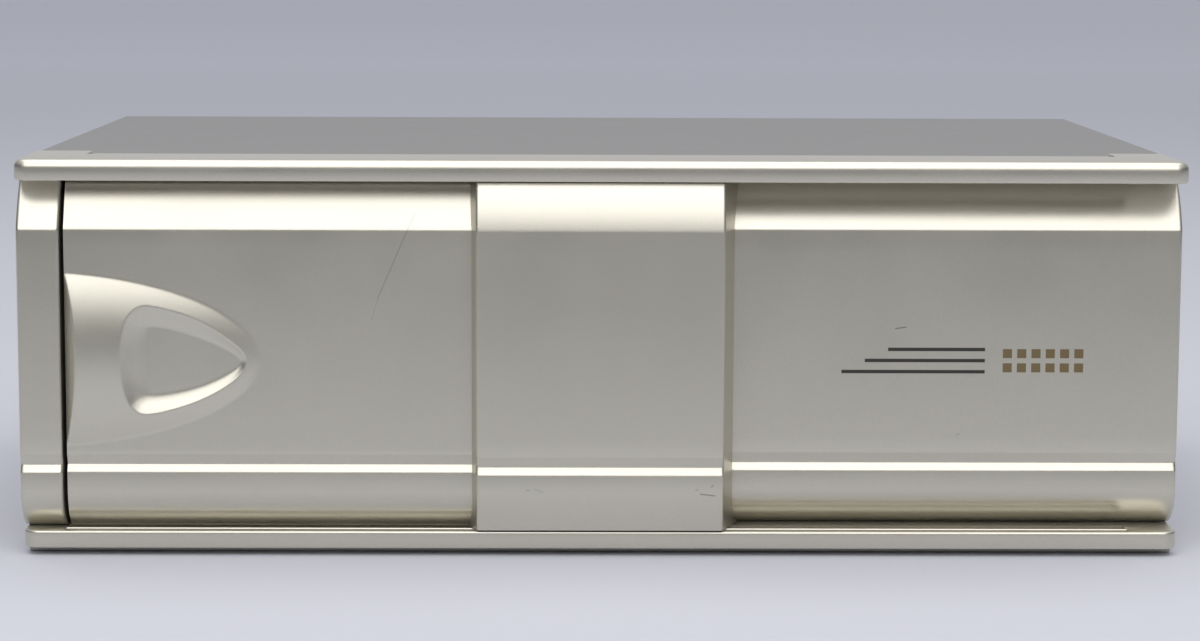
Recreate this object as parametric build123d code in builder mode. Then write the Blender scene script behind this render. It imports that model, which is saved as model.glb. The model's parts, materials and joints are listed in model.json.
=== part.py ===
"""Twelve-disc magazine changer for a car: sheet-steel case, moulded front with two
telescoping sliding doors, disc magazine and a lift-and-play mechanism inside.

Millimetres. Origin at the bottom centre of the case, +X to the right seen from the
front, the front faces -Y, +Z up. Width and depth are worked out from the disc and the
rooms round it: 300 by 190 by 102 over all.
"""
from build123d import *
import os
from math import atan2, cos, degrees, hypot, pi, radians, sin, sqrt, tan

os.makedirs("parts", exist_ok=True)

# ---------------------------------------------------------------- driving dimensions
disc_diameter = 120.0    # disc that the trays carry
slot_count = 12          # trays in the magazine
height = 102.0           # base to top cover
travel_room = 12.0       # a tray's travel beyond the disc's diameter
rear_room = 38.0         # magazine to rear panel, for the lift

# clearances
run_gap = 0.3            # between faces that slide past each other
shaft_gap = 0.06         # radial, shaft in its bore
seam_gap = 0.3           # between fixed mouldings

# sheet metal
cover_sheet = 0.8
chassis_sheet = 1.0
rear_sheet = 0.8
frame_sheet = 1.0

# front moulding
door_proud = 2.2         # outer door face in front of the rails
bay_setback = 15.8       # bay wall behind the rails' front
rail_inset = 1.0         # lower rail is narrower than the upper one, each side
cap_inset = 0.5          # end cap side behind the upper rail's side
side_inset = 1.0         # cover's side behind the upper rail's side
lip_height = 5.5         # upper rail
flange_bottom = 1.7      # underside of the lower rail's front
ledge_top = 6.3          # top of the lower rail
plan_radius = 4.2        # front corners of both rails, seen from above
lip_round = 2.2          # upper front edge of the upper rail
rail_edge = 0.6          # small roundings of the rails
base_setback = 6.0       # chassis floor behind the lower rail's front
cover_seam = 22.0        # top cover edge behind the rails' front, middle
corner_seam = 32.0       # the same at the two sides
corner_seam_width = 16.0 # length of the set-back part, from each side
wall = 2.2               # moulded walls

# profile of the bulged front
slope_height = 12.5      # top slope under the upper rail
groove_top = 26.0        # V line: upper edge, valley and lower edge
groove_valley = 23.4
groove_low = 21.3
groove_depth = 1.1
foot_height = 17.0       # where the lower curve starts
top_lean = 22.0          # lean of the top slope at the crease, degrees

# set-backs of the faces behind the rails' front, and of their edges behind the faces
cap_face = 0.7
cap_recede = 7.0
inner_face = 2.1
inner_recede = 5.1
outer_recede = 3.8
outer_foot_height = 16.2
outer_top_lean = 9.0
outer_foot_lean = 9.0
panel_face = 6.5
panel_recede = 8.0

# doors and their tracks
inner_wall = 2.3
outer_wall = 1.9
tongue_reach = 1.8       # tongues into the tracks
track_depth = 2.3
outer_tongue = 2.2
inner_tongue = 1.4
track_wall = 1.1         # between the two tracks
track_rim = 1.4          # rail in front of the outer track
inner_track = 3.6
track_end = 13.6         # tracks end this far inside the upper rail's side
cap_width = 11.0         # left end cap's front
cap_seam = 1.0           # visible gap between end cap and inner door
edge_cut = 0.8           # outer vertical edges of cap and panel
outer_width = 63.3       # outer door's face
outer_reach = 15.0       # its right end beyond the bay
side_lean = 0.33         # outer door's side walls, run per depth
side_wall = 0.6          # their thickness, per front wall
wall_room = 0.4          # they stay this clear of what they pass
tongue_root = 0.5        # tongues overlap the door's edges
tongue_set = 0.1         # outer tongues behind the door's edge
door_lap = 12.7          # inner door's end under the outer door
end_stop = 0.8           # left between a door and its stop

# grip pad and finger dish on the inner door
pad_height = 44.5
pad_length = 49.5
pad_proud = 3.6
pad_facet = 3.1          # width of the left facet
pad_centre_z = 50.5
dish_left = 21.5         # dish floor corners, from the door's left edge
dish_tip = 48.5
dish_half = 8.3
dish_depth = 0.4         # floor below the door's face
dish_flare = 8.6         # left wall's spread over the pad's full height
dish_rise = 1.35         # spread of the upper and lower walls, per the left one's
dish_nose = 0.4          # spread at the tip, per the left one's
dish_bow = 0.06          # bulge of the upper and lower sides, per length
dish_corner = 1.2
dish_ease = 0.45         # growth of the corners, per spread

# magazine and trays
mag_wall = 2.2
mag_side = 7.0           # magazine beyond the disc, each side
disc_room = 1.0          # cavity round the disc
travel_end = 1.5         # from a tray's ear to the frame when it is out
mag_proud = 1.0          # magazine face in front of the bay wall
mag_inset = 5.5          # magazine from the end cap
mag_floor = 14.8         # underside of the magazine
floor_head = 5.2         # from there to the lowest tray
tray_head = 5.0          # from the highest tray to the lid
lid_head = 13.2          # from the magazine's top to the top of the case
mouth_set = 0.5          # trays end behind the magazine's mouth
tray_sheet = 1.2
tray_rim = 1.2           # stop rim on top of the tray sheet
tray_slot = 34.0         # opening for turntable and pickup
tray_play = 0.5          # disc in its rim, radial
tray_ear = 6.0           # ear beyond the magazine mouth
hook_set = 0.2           # its notch beyond the ear's middle
ear_width = 10.5
notch_width = 3.0
notch_depth = 3.2
tray_groove = 1.8        # depth of the side grooves
wall_clear = 5.5         # trays from the bay wall
eject_travel = 5.0
nose_chamfer = 2.0
grip_width = 46.0        # recess in the magazine's face
grip_height = 14.0
grip_depth = 3.5

# bay mouth and eject button
bezel_sheet = 2.2
bay_gap = 0.8            # bay wall opening round magazine and button
bezel_gap = 0.5
bay_margin = 15.2        # bay's right end from the magazine
button_inset = 7.0       # button's middle from the bay's right end
button_width = 9.0
button_height = 16.0
button_proud = 2.0
button_travel = 1.0
button_flange = 1.5
button_edge = 0.8
flange_sheet = 1.0
button_stem = 0.4
button_level = 0.51      # height of its middle, per height of the case
switch_size = 5.0
switch_height = 1.2      # low switch: its board stays clear of the trays
switch_sheet = 0.8
pillar_side = 2.4

# case fixings
mount_radius = 2.5       # bracket holes
mount_forward = 85.0     # middle of the bracket holes from the rear panel
mount_level = 46.0
mount_spacing_y = 100.0
mount_spacing_z = 60.0
nut_side = 9.0           # square weld nuts behind the bracket holes
nut_sheet = 2.0
pan_flange = 10.0        # turned-up sides of the bottom pan
bend_radius = 1.6
screw_radius = 1.5       # small screws
screw_head = 3.0
head_height = 0.9
screw_sides = 8
can_sides = 24           # motor cans and other flat-sided rounds inside
screw_inset = 11.0       # cover screws from the ends of the cover's sides
screw_level = 6.0
boss_side = 5.0          # square bosses in end cap and panel
boss_inset = 18.0
boss_levels = (0.36, 0.74)

# electronics
board_sheet = 1.2
board_setback = 10.0     # main board's rear face from the rear panel
board_inset = 20.0       # board's left end from the cover
board_width = 132.0
board_margin = 12.0      # board from base and top
post_inset = 6.0
post_side = 5.0
capacitor_radius = 5.0
capacitor_height = 9.0
socket_inset = 38.0      # cable socket's middle from the cover's side
socket_level = 30.0
socket_side = 17.0
socket_bore = 6.5
socket_depth = 8.0

# suspended mechanism
side_room = 7.2          # from the cover to the frame
base_room = 1.6          # from the bottom pan to the frame
top_room = 6.2           # from the cover to the frame's top
rear_gap = 1.2
front_gap = 6.0          # bottom plate from the bay wall
frame_front = 16.0       # frame's sides from the bay wall
guide_setback = 8.0      # guides from the bay wall and from the magazine's rear
guide_width = 18.0
guide_height = 25.0      # left guide above the magazine's underside
guide_lip = 3.6
guide_sheet = 2.1
damper_radius = 10.0
damper_sides = 20
damper_inset = (35.0, 17.0)   # from the front and rear ends of the frame's sides
damper_level = 28.0
dial_radius = 8.0
dial_flange = 1.5
dial_sheet = 1.2
dial_slot = 1.6
dial_forward = 55.0      # dials from the rear panel
dial_level = 58.0
coil_radius = 2.2
wire_radius = 0.7
spring_peg = 3.0
peg_level = 20.0
lock_forward = 105.0     # transport screws from the rear panel
lock_level = 50.0
ejector_sheet = 1.2
ejector_width = 34.0
ejector_length = 37.0
ejector_height = 26.0
key_width = 4.0
key_length = 5.0

# lift, between magazine and rear panel
rod_radius = 2.5
rod_left = 15.0          # from the magazine's mouth
rod_right = 13.0         # from the frame's right side
screw_place = 33.0       # lift screw from the frame's right side
lift_radius = 3.0
journal_radius = 1.5
gear_module = 0.8
lift_teeth = 36
pinion_teeth = 12
gear_thickness = 3.0
gear_backlash = 0.25
gear_lean = 20.0         # pressure angle, degrees
gear_tip = 0.85          # tooth above the pitch circle, per module
gear_root = 1.25         # and below it
motor_shaft = 1.0
motor_share = 0.26       # motor radius, per depth of the rear room
motor_offset = 0.173     # motor's middle behind the screw, per depth of the rear room
motor_height = 24.0
leg_side = 2.6
leg_spread = 0.4         # legs from the motor's middle, shares of its radius
leg_back = 0.55

# drive unit
deck_level = 11.0        # underside of the carriage plate at the lowest tray
drive_sheet = 1.2
drive_inset = 7.0        # plate from the magazine's mouth
drive_gap = 2.0          # plate from the inside of the frame's right side
drive_front = 20.0       # plate's front edge behind the trays'
plate_edge = 6.0
spindle_hole = 5.0
pulley_hole = 3.4
boss_share = 0.158       # half side of the rod bosses, per depth of the rear room
boss_drop = 3.0
boss_height = 12.6
turntable_radius = 15.0
turntable_top = 1.8      # below the lowest disc
turntable_sheet = 2.8
hub_radius = 7.4
hub_height = 2.0
hub_taper = 1.0
spindle_radius = 1.2
spindle_motor_radius = 12.0
spindle_motor_height = 6.4
arm_width = 9.4
arm_sheet = 1.5
arm_rise = 3.2           # arm's underside above the puck's
pivot_half = 2.6         # half side of the arm's block round its pin
pivot_rise = 2.4         # pin above the puck's underside
pivot_set = 3.5          # pin behind the front of the lift's bosses
ear_sheet = 2.0
ear_height = 17.8
ear_reach = 3.2
puck_radius = 13.0
puck_rise = 1.6          # above the rim of a tray
puck_height = 2.6
puck_roof = 0.8
puck_stem = 2.5
puck_cap = 1.6
sled_rod_radius = 1.5
sled_rod_span = 40.0
sled_rod_rise = 3.3      # rods above the plate
sled_length = 16.0
sled_travel = 29.0
sled_start = 21.5        # sled's left end from the spindle
sled_rise = 0.6
sled_height = 5.4
feed_radius = 1.3
feed_offset = 30.0
feed_rise = 3.0
feed_width = 11.4        # feed motor stays clear of the sled
feed_length = 13.0
holder_sheet = 3.0
holder_gap = 0.9
holder_edge = 1.0
sled_reach = 4.0         # sled beyond its rods and the feed screw
nut_length = 6.0
lens_radius = 4.0
lens_side = 11.0
lens_seat = 2.0
lens_edge = 0.5

# tray loader, shares of the room between the trays and the lift's bosses
rail_share = 0.25
belt_share = 0.69
pulley_share = 0.206
rail_width = 2.0
rail_height = 2.8
hook_width = 5.6
hook_rise = 9.8
belt_height = 3.2
belt_sheet = 0.6
belt_rise = 1.0          # belt above the plate
belt_inset = 0.8         # belt from the magazine and from the frame
strip_inset = (1.0, 0.6) # loader's strip of the plate, from the same two
strip_edge = 1.0         # plate behind the belt
rail_play = 0.2
hook_gap = 1.7           # hook's block behind the trays
finger_set = 1.1         # hook's finger from the bottom of a tray's notch
finger_root = 2.0        # and into its block
finger_drop = 0.8        # finger below the lowest tray
loading_radius = 5.0
loading_height = 6.0

# ---------------------------------------------------------------- worked-out places
cavity_half = disc_diameter / 2 + disc_room
groove_half = cavity_half + tray_groove
tray_half = groove_half - run_gap
mag_width = disc_diameter + 2 * mag_side
mag_depth = 2 * groove_half + mag_wall - run_gap     # from the trays' front to the magazine's rear
tray_travel = disc_diameter + travel_room
case_left = cap_inset + cap_width + mag_inset
case_right = travel_end + frame_sheet + side_room + cover_sheet + side_inset
width = case_left + mag_width - mouth_set + tray_ear + tray_travel + case_right
depth = door_proud + bay_setback + chassis_sheet + wall_clear + mag_depth + rear_room
front = -depth / 2 + door_proud            # front plane of both rails
rear = depth / 2
half = width / 2
lip_bottom = height - lip_height
top_edge = lip_bottom - run_gap            # doors' top edge
foot_edge = ledge_top + run_gap            # doors' bottom edge
crease = lip_bottom - slope_height
cap_side = half - cap_inset
rail_side = half - rail_inset
cover_side = half - side_inset
cover_inner = cover_side - cover_sheet
bay_plane = front + bay_setback            # front face of the bay wall
seam_y = front + cover_seam
corner_y = front + corner_seam
corner_x = half - corner_seam_width
cap_right = -cap_side + cap_width
inner_left = cap_right + cap_seam
outer_track_y = front + track_rim
outer_track = outer_tongue + 2 * run_gap
inner_track_y = outer_track_y + outer_track + track_wall
track_right = half - track_end
wall_back = bay_plane + chassis_sheet
bay_left = cap_right + seam_gap
cover_under = height - cover_sheet
frame_half = cover_inner - side_room
frame_wall = frame_half - frame_sheet
plate_low = chassis_sheet + base_room      # underside of the mechanism frame
plate_top = plate_low + frame_sheet
roof_low = cover_under - top_room - frame_sheet
frame_rear = rear - rear_sheet - rear_gap

# magazine: fixed by the disc across, by the case's height upwards
disc_y = wall_back + wall_clear + tray_half
tray_rear = disc_y + tray_half
mag_left = cap_right + mag_inset
mag_right = mag_left + mag_width
mag_face = bay_plane - mag_proud
mag_rear = rear - rear_room
mag_middle = (mag_left + mag_right) / 2
mag_top = height - lid_head
lid_low = mag_top - mag_wall
first_tray = mag_floor + floor_head
slot_pitch = (lid_low - tray_head - first_tray) / (slot_count - 1)
tray_levels = [first_tray + slot * slot_pitch for slot in range(slot_count)]
tray_left = mag_left + mag_wall + run_gap
tray_right = mag_right - mouth_set
disc_x = (tray_left + tray_right) / 2
hook_x = mag_right + tray_ear / 2 + hook_set

# bay and doors
bay_right = mag_right + bay_margin
panel_left = bay_right + seam_gap
outer_right = bay_right + outer_reach
outer_left = outer_right - outer_width
inner_right = outer_left + door_lap
button_x = bay_right - button_inset
button_z = button_level * height

# drive
rod_y = mag_rear + rear_room / 2
rod_left_x = mag_right + rod_left
rod_right_x = frame_half - rod_right
lift_x = frame_half - screw_place
boss_half = boss_share * rear_room
spindle_x = disc_x + tray_travel
spindle_y = disc_y


# ---------------------------------------------------------------- front profile helpers
class Curve:
    """Arc between a face and one of its edges, leaving the face at a lean from vertical."""

    def __init__(self, face, z_face, recede, z_edge, lean):
        rise = abs(z_edge - z_face)
        self.side = 1 if z_edge > z_face else -1
        half_turn = atan2(recede, rise) - radians(lean)
        chord = hypot(recede, rise)
        self.radius = chord / (2 * sin(half_turn))
        reach = self.radius * cos(half_turn)
        self.y = face + recede / 2 + rise / chord * reach
        self.z = (z_face + z_edge) / 2 - self.side * recede / chord * reach

    def height_at(self, y, inset=0.0):
        """Height of the arc, or of the one inset from it, at a depth y."""
        return self.z + self.side * sqrt(max(0, (self.radius - inset) ** 2 - (y - self.y) ** 2))

    def point(self, y, inset=0.0):
        return (y, self.height_at(y, inset))


def outer_line(face, recede, z_foot, lean, foot_lean):
    """Outer line of a front piece from its top edge down to its bottom edge."""
    top = Curve(face, crease, recede, top_edge, lean)
    foot = Curve(face, z_foot, recede, foot_edge, foot_lean)
    with BuildLine() as line:
        ThreePointArc((face + recede, top_edge), top.point(face + recede / 2), (face, crease))
        Polyline(
            (face, crease),
            (face, groove_top),
            (face + groove_depth, groove_valley),
            (face, groove_low),
            (face, z_foot),
        )
        ThreePointArc((face, z_foot), foot.point(face + recede / 2), (face + recede, foot_edge))
    return line.line


def solid_profile(x, face, recede, back, z_foot=foot_height, lean=top_lean, foot_lean=0.0):
    """Closed section of a front piece, filled back to a plane."""
    with BuildSketch(Plane.YZ.offset(x)) as section:
        with BuildLine():
            add(outer_line(face, recede, z_foot, lean, foot_lean))
            edge = face + recede
            Polyline((edge, foot_edge), (back, foot_edge), (back, top_edge), (edge, top_edge))
        make_face()
    return section.sketch


def room_profile(x, face, recede, back, skin, z_foot=foot_height, lean=top_lean, foot_lean=0.0):
    """Section of the hollow behind a front piece whose wall has the given thickness."""
    top = Curve(face, crease, recede, top_edge, lean)
    foot = Curve(face, z_foot, recede, foot_edge, foot_lean)
    inside = face + skin
    behind = min(face + recede + skin, back - skin / 2)
    low = foot.height_at(behind, skin)
    high = top.height_at(behind, skin)
    middle = (inside + behind) / 2
    with BuildSketch(Plane.YZ.offset(x)) as section:
        with BuildLine():
            ThreePointArc((behind, high), top.point(middle, skin), top.point(inside, skin))
            Line(top.point(inside, skin), foot.point(inside, skin))
            ThreePointArc(foot.point(inside, skin), foot.point(middle, skin), (behind, low))
            Polyline((behind, low), (back, low), (back, high), (behind, high))
        make_face()
    return section.sketch


def door_profile(x, face, recede, skin, tongue, z_foot=foot_height, lean=top_lean, foot_lean=0.0):
    """Section of a door: curved wall of even thickness with a tongue at both edges."""
    top = Curve(face, crease, recede, top_edge, lean)
    foot = Curve(face, z_foot, recede, foot_edge, foot_lean)
    inside = face + skin
    edge = face + recede
    behind = edge + tongue
    middle = (inside + behind) / 2
    low = foot.height_at(behind, skin)
    high = top.height_at(behind, skin)
    with BuildSketch(Plane.YZ.offset(x)) as section:
        with BuildLine():
            add(outer_line(face, recede, z_foot, lean, foot_lean))
            Polyline(
                (edge, foot_edge),
                (edge, ledge_top - tongue_reach),
                (behind, ledge_top - tongue_reach),
                (behind, low),
            )
            ThreePointArc((behind, low), foot.point(middle, skin), foot.point(inside, skin))
            Line(foot.point(inside, skin), top.point(inside, skin))
            ThreePointArc(top.point(inside, skin), top.point(middle, skin), (behind, high))
            Polyline(
                (behind, high),
                (behind, lip_bottom + tongue_reach),
                (edge, lip_bottom + tongue_reach),
                (edge, top_edge),
            )
        make_face()
    return section.sketch


# ---------------------------------------------------------------- lower front rail
with BuildPart() as lower_front_rail:
    with BuildSketch(Plane.XY.offset(flange_bottom)):
        with Locations((0, (front + bay_plane) / 2)):
            Rectangle(2 * rail_side, bay_plane - front)
    extrude(amount=ledge_top - flange_bottom)
    corners = lower_front_rail.edges().filter_by(Axis.Z).group_by(Axis.Y)[0]
    fillet(corners, plan_radius)
    rims = lower_front_rail.faces().filter_by(Axis.Z).edges().filter_by(Axis.X).group_by(Axis.Y)[0]
    chamfer(rims, rail_edge)
    # foot that stands on the chassis floor
    foot_y = front + base_setback + seam_gap
    with BuildSketch(Plane.XY.offset(chassis_sheet)):
        with Locations((0, (foot_y + bay_plane) / 2)):
            Rectangle(2 * (cover_inner - 1.0), bay_plane - foot_y)
    extrude(amount=flange_bottom - chassis_sheet)
    # tracks for the two doors
    with BuildSketch(Plane.YZ.offset(inner_left - end_stop)):
        with Locations((outer_track_y + outer_track / 2, ledge_top - track_depth / 2)):
            Rectangle(outer_track, track_depth)
        with Locations((inner_track_y + inner_track / 2, ledge_top - track_depth / 2)):
            Rectangle(inner_track, track_depth)
    extrude(amount=track_right - inner_left + end_stop, mode=Mode.SUBTRACT)

# ---------------------------------------------------------------- upper front rail
with BuildPart() as upper_front_rail:
    with BuildSketch(Plane.XY.offset(lip_bottom)):
        with BuildLine():
            Polyline(
                (-half, front),
                (half, front),
                (half, corner_y),
                (corner_x, corner_y),
                (corner_x, seam_y),
                (-corner_x, seam_y),
                (-corner_x, corner_y),
                (-half, corner_y),
                close=True,
            )
        make_face()
    extrude(amount=lip_height)
    corners = upper_front_rail.edges().filter_by(Axis.Z).group_by(Axis.Y)[0]
    fillet(corners, plan_radius)
    rim = upper_front_rail.faces().sort_by(Axis.Z)[-1].edges()
    front_rim = rim.filter_by(lambda e: e.center().Y < corner_y - 1 and e.center().Y < seam_y - 1)
    fillet(front_rim, lip_round)
    # tracks for the two doors, open downwards
    with BuildSketch(Plane.YZ.offset(inner_left - end_stop)):
        with Locations((outer_track_y + outer_track / 2, lip_bottom + track_depth / 2)):
            Rectangle(outer_track, track_depth)
        with Locations((inner_track_y + inner_track / 2, lip_bottom + track_depth / 2)):
            Rectangle(inner_track, track_depth)
    extrude(amount=track_right - inner_left + end_stop, mode=Mode.SUBTRACT)
    # step that runs in under the top cover
    with BuildSketch(Plane.XY.offset(lip_bottom)):
        with Locations((0, (seam_y + corner_y) / 2)):
            Rectangle(2 * (corner_x - seam_gap), corner_y - seam_y)
    extrude(amount=lip_height - cover_sheet)


# ---------------------------------------------------------------- end cap and right panel
def fixed_front(face_y, recede, x_left, x_right, outward):
    """Moulded front piece, hollow behind, with a skirt along the side of the case."""
    span = x_right - x_left
    with BuildPart() as piece:
        extrude(solid_profile(x_left, front + face_y, recede, bay_plane), amount=span)
        side = piece.faces().sort_by(Axis.X)[-1 if outward > 0 else 0].edges()
        shown = side.filter_by(lambda e: foot_edge + shaft_gap < e.center().Z < top_edge - shaft_gap)
        chamfer(shown.sort_by(Axis.Y)[:-1], edge_cut)
        hollow = room_profile(x_left + wall, front + face_y, recede, bay_plane, wall)
        extrude(hollow, amount=span - 2 * wall, mode=Mode.SUBTRACT)
        # skirt between the front and the cover's side
        skirt = cap_side - cover_inner
        with BuildSketch(Plane.XY.offset(flange_bottom)):
            with Locations((outward * (cap_side - skirt / 2), (bay_plane + corner_y - seam_gap) / 2)):
                Rectangle(skirt, corner_y - seam_gap - bay_plane)
        extrude(amount=top_edge + run_gap - flange_bottom)
    return piece


left_end_cap = fixed_front(cap_face, cap_recede, -cap_side, cap_right, -1)
right_panel = fixed_front(panel_face, panel_recede, panel_left, cap_side, 1)

# ---------------------------------------------------------------- inner door
inner_y = front + inner_face
with BuildPart() as inner_door:
    section = door_profile(inner_left, inner_y, inner_recede, inner_wall, inner_tongue)
    extrude(section, amount=inner_right - inner_left)
    # grip pad: a shallow cone turned about an axis far behind the face
    pad_turn = (pad_height / 2) ** 2 / (2 * pad_proud) + pad_proud / 2
    pad_sweep = degrees(3 * pad_height / pad_turn) / 2
    axis_y = inner_y - pad_proud + pad_turn
    axis = Axis((inner_left, axis_y, pad_centre_z), (1, 0, 0))
    nose = (inner_left + pad_length, inner_y)
    crest = (inner_left, inner_y - pad_proud)
    with BuildPart(mode=Mode.PRIVATE) as barrel:
        with BuildSketch(Plane.XY.offset(pad_centre_z)):
            with BuildLine():
                Polyline(crest, nose, (nose[0], axis_y), (crest[0], axis_y), close=True)
            make_face()
        revolve(axis=axis, revolution_arc=pad_sweep)
    turned = barrel.part.rotate(axis, -pad_sweep / 2)
    with BuildPart(mode=Mode.PRIVATE) as pad:
        add(turned)
        with BuildSketch(Plane.XY.offset(pad_centre_z - pad_height)):
            with BuildLine():
                Polyline(
                    (inner_left, inner_y + inner_wall / 2),
                    (inner_left, inner_y),
                    (inner_left + pad_facet, inner_y - pad_proud),
                    (nose[0], inner_y - pad_proud - 1),
                    (nose[0], inner_y + inner_wall / 2),
                    close=True,
                )
            make_face()
        extrude(amount=2 * pad_height, mode=Mode.INTERSECT)
    add(pad.part)

    # finger dish: rounded triangle, flared towards the front
    def dish_outline(depth_y, spread):
        with BuildSketch(Plane.XZ.offset(-depth_y)) as outline:
            left_x = inner_left + dish_left - spread
            tip_x = inner_left + dish_tip + dish_nose * spread
            reach = dish_half + dish_rise * spread
            bow_x = (left_x + tip_x) / 2 + dish_bow * reach
            bow_z = reach / 2 + dish_bow * (tip_x - left_x)
            with BuildLine():
                Line((left_x, pad_centre_z - reach), (left_x, pad_centre_z + reach))
                for side in (-1, 1):
                    ThreePointArc(
                        (left_x, pad_centre_z + side * reach),
                        (bow_x, pad_centre_z + side * bow_z),
                        (tip_x, pad_centre_z),
                    )
            make_face()
            fillet(outline.vertices(), dish_corner + spread * dish_ease)
        return outline.sketch

    floor_y = inner_y + dish_depth
    flare = dish_outline(floor_y - pad_proud - dish_depth, dish_flare)
    floor = dish_outline(floor_y, 0)
    loft([flare.face(), floor.face()], mode=Mode.SUBTRACT)

# ---------------------------------------------------------------- outer door
outer_y = front - door_proud
outer_shape = dict(z_foot=outer_foot_height, lean=outer_top_lean, foot_lean=outer_foot_lean)
with BuildPart() as outer_door:
    reach_back = front + panel_face + panel_recede
    flare_x = side_lean * (reach_back - outer_y)
    flare_left = outer_left - flare_x
    section = solid_profile(flare_left, outer_y, outer_recede, reach_back, **outer_shape)
    extrude(section, amount=outer_right - outer_left + 2 * flare_x)
    with BuildSketch(Plane.XY):
        with BuildLine():
            Polyline(
                (outer_left, outer_y),
                (outer_right, outer_y),
                (outer_right + flare_x, reach_back),
                (outer_left - flare_x, reach_back),
                close=True,
            )
        make_face()
    extrude(amount=height, mode=Mode.INTERSECT)
    # hollow behind the wall
    room_left = outer_left + outer_wall * side_wall
    room_right = outer_right - outer_wall * side_wall
    hollow = room_profile(room_left, outer_y, outer_recede, reach_back, outer_wall, **outer_shape)
    extrude(hollow, amount=room_right - room_left, mode=Mode.SUBTRACT)
    # the left wall ends in front of the inner door, the right one in front of the panel
    passed = solid_profile(flare_left, inner_y - wall_room, inner_recede, reach_back)
    extrude(passed, amount=room_right - flare_left, mode=Mode.SUBTRACT)
    passed = solid_profile(flare_left, front + panel_face - wall_room, panel_recede, reach_back)
    extrude(passed, amount=outer_right + flare_x - flare_left, mode=Mode.SUBTRACT)
    # tongues
    edge_y = outer_y + outer_recede
    tongue_spans = (
        (ledge_top - tongue_reach, foot_edge + tongue_root),
        (top_edge - tongue_root, lip_bottom + tongue_reach),
    )
    for z_low, z_high in tongue_spans:
        with BuildSketch(Plane.XY.offset(z_low)):
            with Locations(((outer_left + outer_right) / 2, edge_y + outer_tongue / 2 + tongue_set)):
                Rectangle(outer_right - outer_left, outer_tongue)
        extrude(amount=z_high - z_low)

# ---------------------------------------------------------------- shared shapes
def bar(x_range, y_range, z_range):
    """Flat plate or bar between the given limits."""
    with BuildPart() as piece:
        with BuildSketch(Plane.XY.offset(min(z_range))):
            with Locations((sum(x_range) / 2, sum(y_range) / 2)):
                Rectangle(abs(x_range[1] - x_range[0]), abs(y_range[1] - y_range[0]))
        extrude(amount=abs(z_range[1] - z_range[0]))
    return piece.part


def rod(start, direction, radius, length):
    """Round rod or tube from a start point along a direction."""
    with BuildPart() as piece:
        with BuildSketch(Plane(start, z_dir=direction)):
            Circle(radius)
        extrude(amount=length)
    return piece.part


def small_rod(start, direction, radius, length, sides=12):
    """Rod with flat sides, for screws, wire and other small round pieces inside."""
    with BuildPart() as piece:
        with BuildSketch(Plane(start, z_dir=direction)):
            RegularPolygon(radius, sides)
        extrude(amount=length)
    return piece.part


def mirrored(value):
    """The two limits of a span that lies evenly about zero."""
    return (-value, value)


def gear(centre, z_low, teeth, bore, turn):
    """Spur gear with involute flanks."""
    pitch = gear_module * teeth / 2
    base = pitch * cos(radians(gear_lean))
    tip = pitch + gear_tip * gear_module
    root = pitch - gear_root * gear_module
    rise = tan(radians(gear_lean)) - radians(gear_lean)
    half_tooth = pi / (2 * teeth) - gear_backlash / (2 * pitch)

    def flank(radius):
        if radius <= base:
            return half_tooth + rise
        roll = sqrt((radius / base) ** 2 - 1)
        return half_tooth + rise - (roll - atan2(roll, 1))

    radii = [root, tip]
    points = []
    for tooth in range(teeth):
        middle = radians(turn) + 2 * pi * tooth / teeth
        rising = [(radius, middle - flank(radius)) for radius in radii]
        falling = [(radius, middle + flank(radius)) for radius in reversed(radii)]
        points += [(radius * cos(angle), radius * sin(angle)) for radius, angle in rising + falling]
    with BuildPart() as piece:
        with BuildSketch(Plane((centre[0], centre[1], z_low))):
            with BuildLine():
                Polyline(*points, close=True)
            make_face()
            Circle(bore, mode=Mode.SUBTRACT)
        extrude(amount=gear_thickness)
    return piece.part


# ---------------------------------------------------------------- fixing points
mount_y = rear - mount_forward
mount_spots = [(mount_y + side * mount_spacing_y / 2, mount_level + level * mount_spacing_z / 2)
               for side in (-1, 1) for level in (-1, 1)]
cover_spots = [(rear - screw_inset, screw_level), (corner_y + screw_inset, screw_level)]
boss_heights = [share * height for share in boss_levels]
cap_bosses = [((cap_right - cap_side) / 2, level) for level in boss_heights]
panel_bosses = [(across, level) for across in (outer_right + boss_inset, cap_side - boss_inset)
                for level in boss_heights]

# square bosses inside end cap and panel that take the screws
for piece, spots, face_y in ((left_end_cap, cap_bosses, cap_face), (right_panel, panel_bosses, panel_face)):
    with piece:
        for across, level in spots:
            reach = (front + face_y + wall / 2, bay_plane)
            spread = boss_side / 2
            add(bar((across - spread, across + spread), reach, (level - spread, level + spread)))

# ---------------------------------------------------------------- bottom pan
with BuildPart() as bottom_chassis:
    add(bar(mirrored(cover_inner), (front + base_setback, rear), (0, chassis_sheet)))
    for side in (-1, 1):
        flange = (side * (cover_inner - chassis_sheet), side * cover_inner)
        add(bar(flange, (wall_back, rear - rear_sheet), (0, pan_flange)))

# ---------------------------------------------------------------- bay wall
with BuildPart() as bay_wall:
    add(bar(mirrored(cap_side - wall - run_gap), (bay_plane, wall_back), (chassis_sheet, lip_bottom)))
    add(bar((mag_left - bay_gap, mag_right + bay_gap), (bay_plane, wall_back),
            (mag_floor - bay_gap, mag_top + bay_gap)), mode=Mode.SUBTRACT)
    reach = (button_width / 2 + bay_gap, button_height / 2 + bay_gap)
    add(bar((button_x - reach[0], button_x + reach[0]), (bay_plane, wall_back),
            (button_z - reach[1], button_z + reach[1])), mode=Mode.SUBTRACT)

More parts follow.
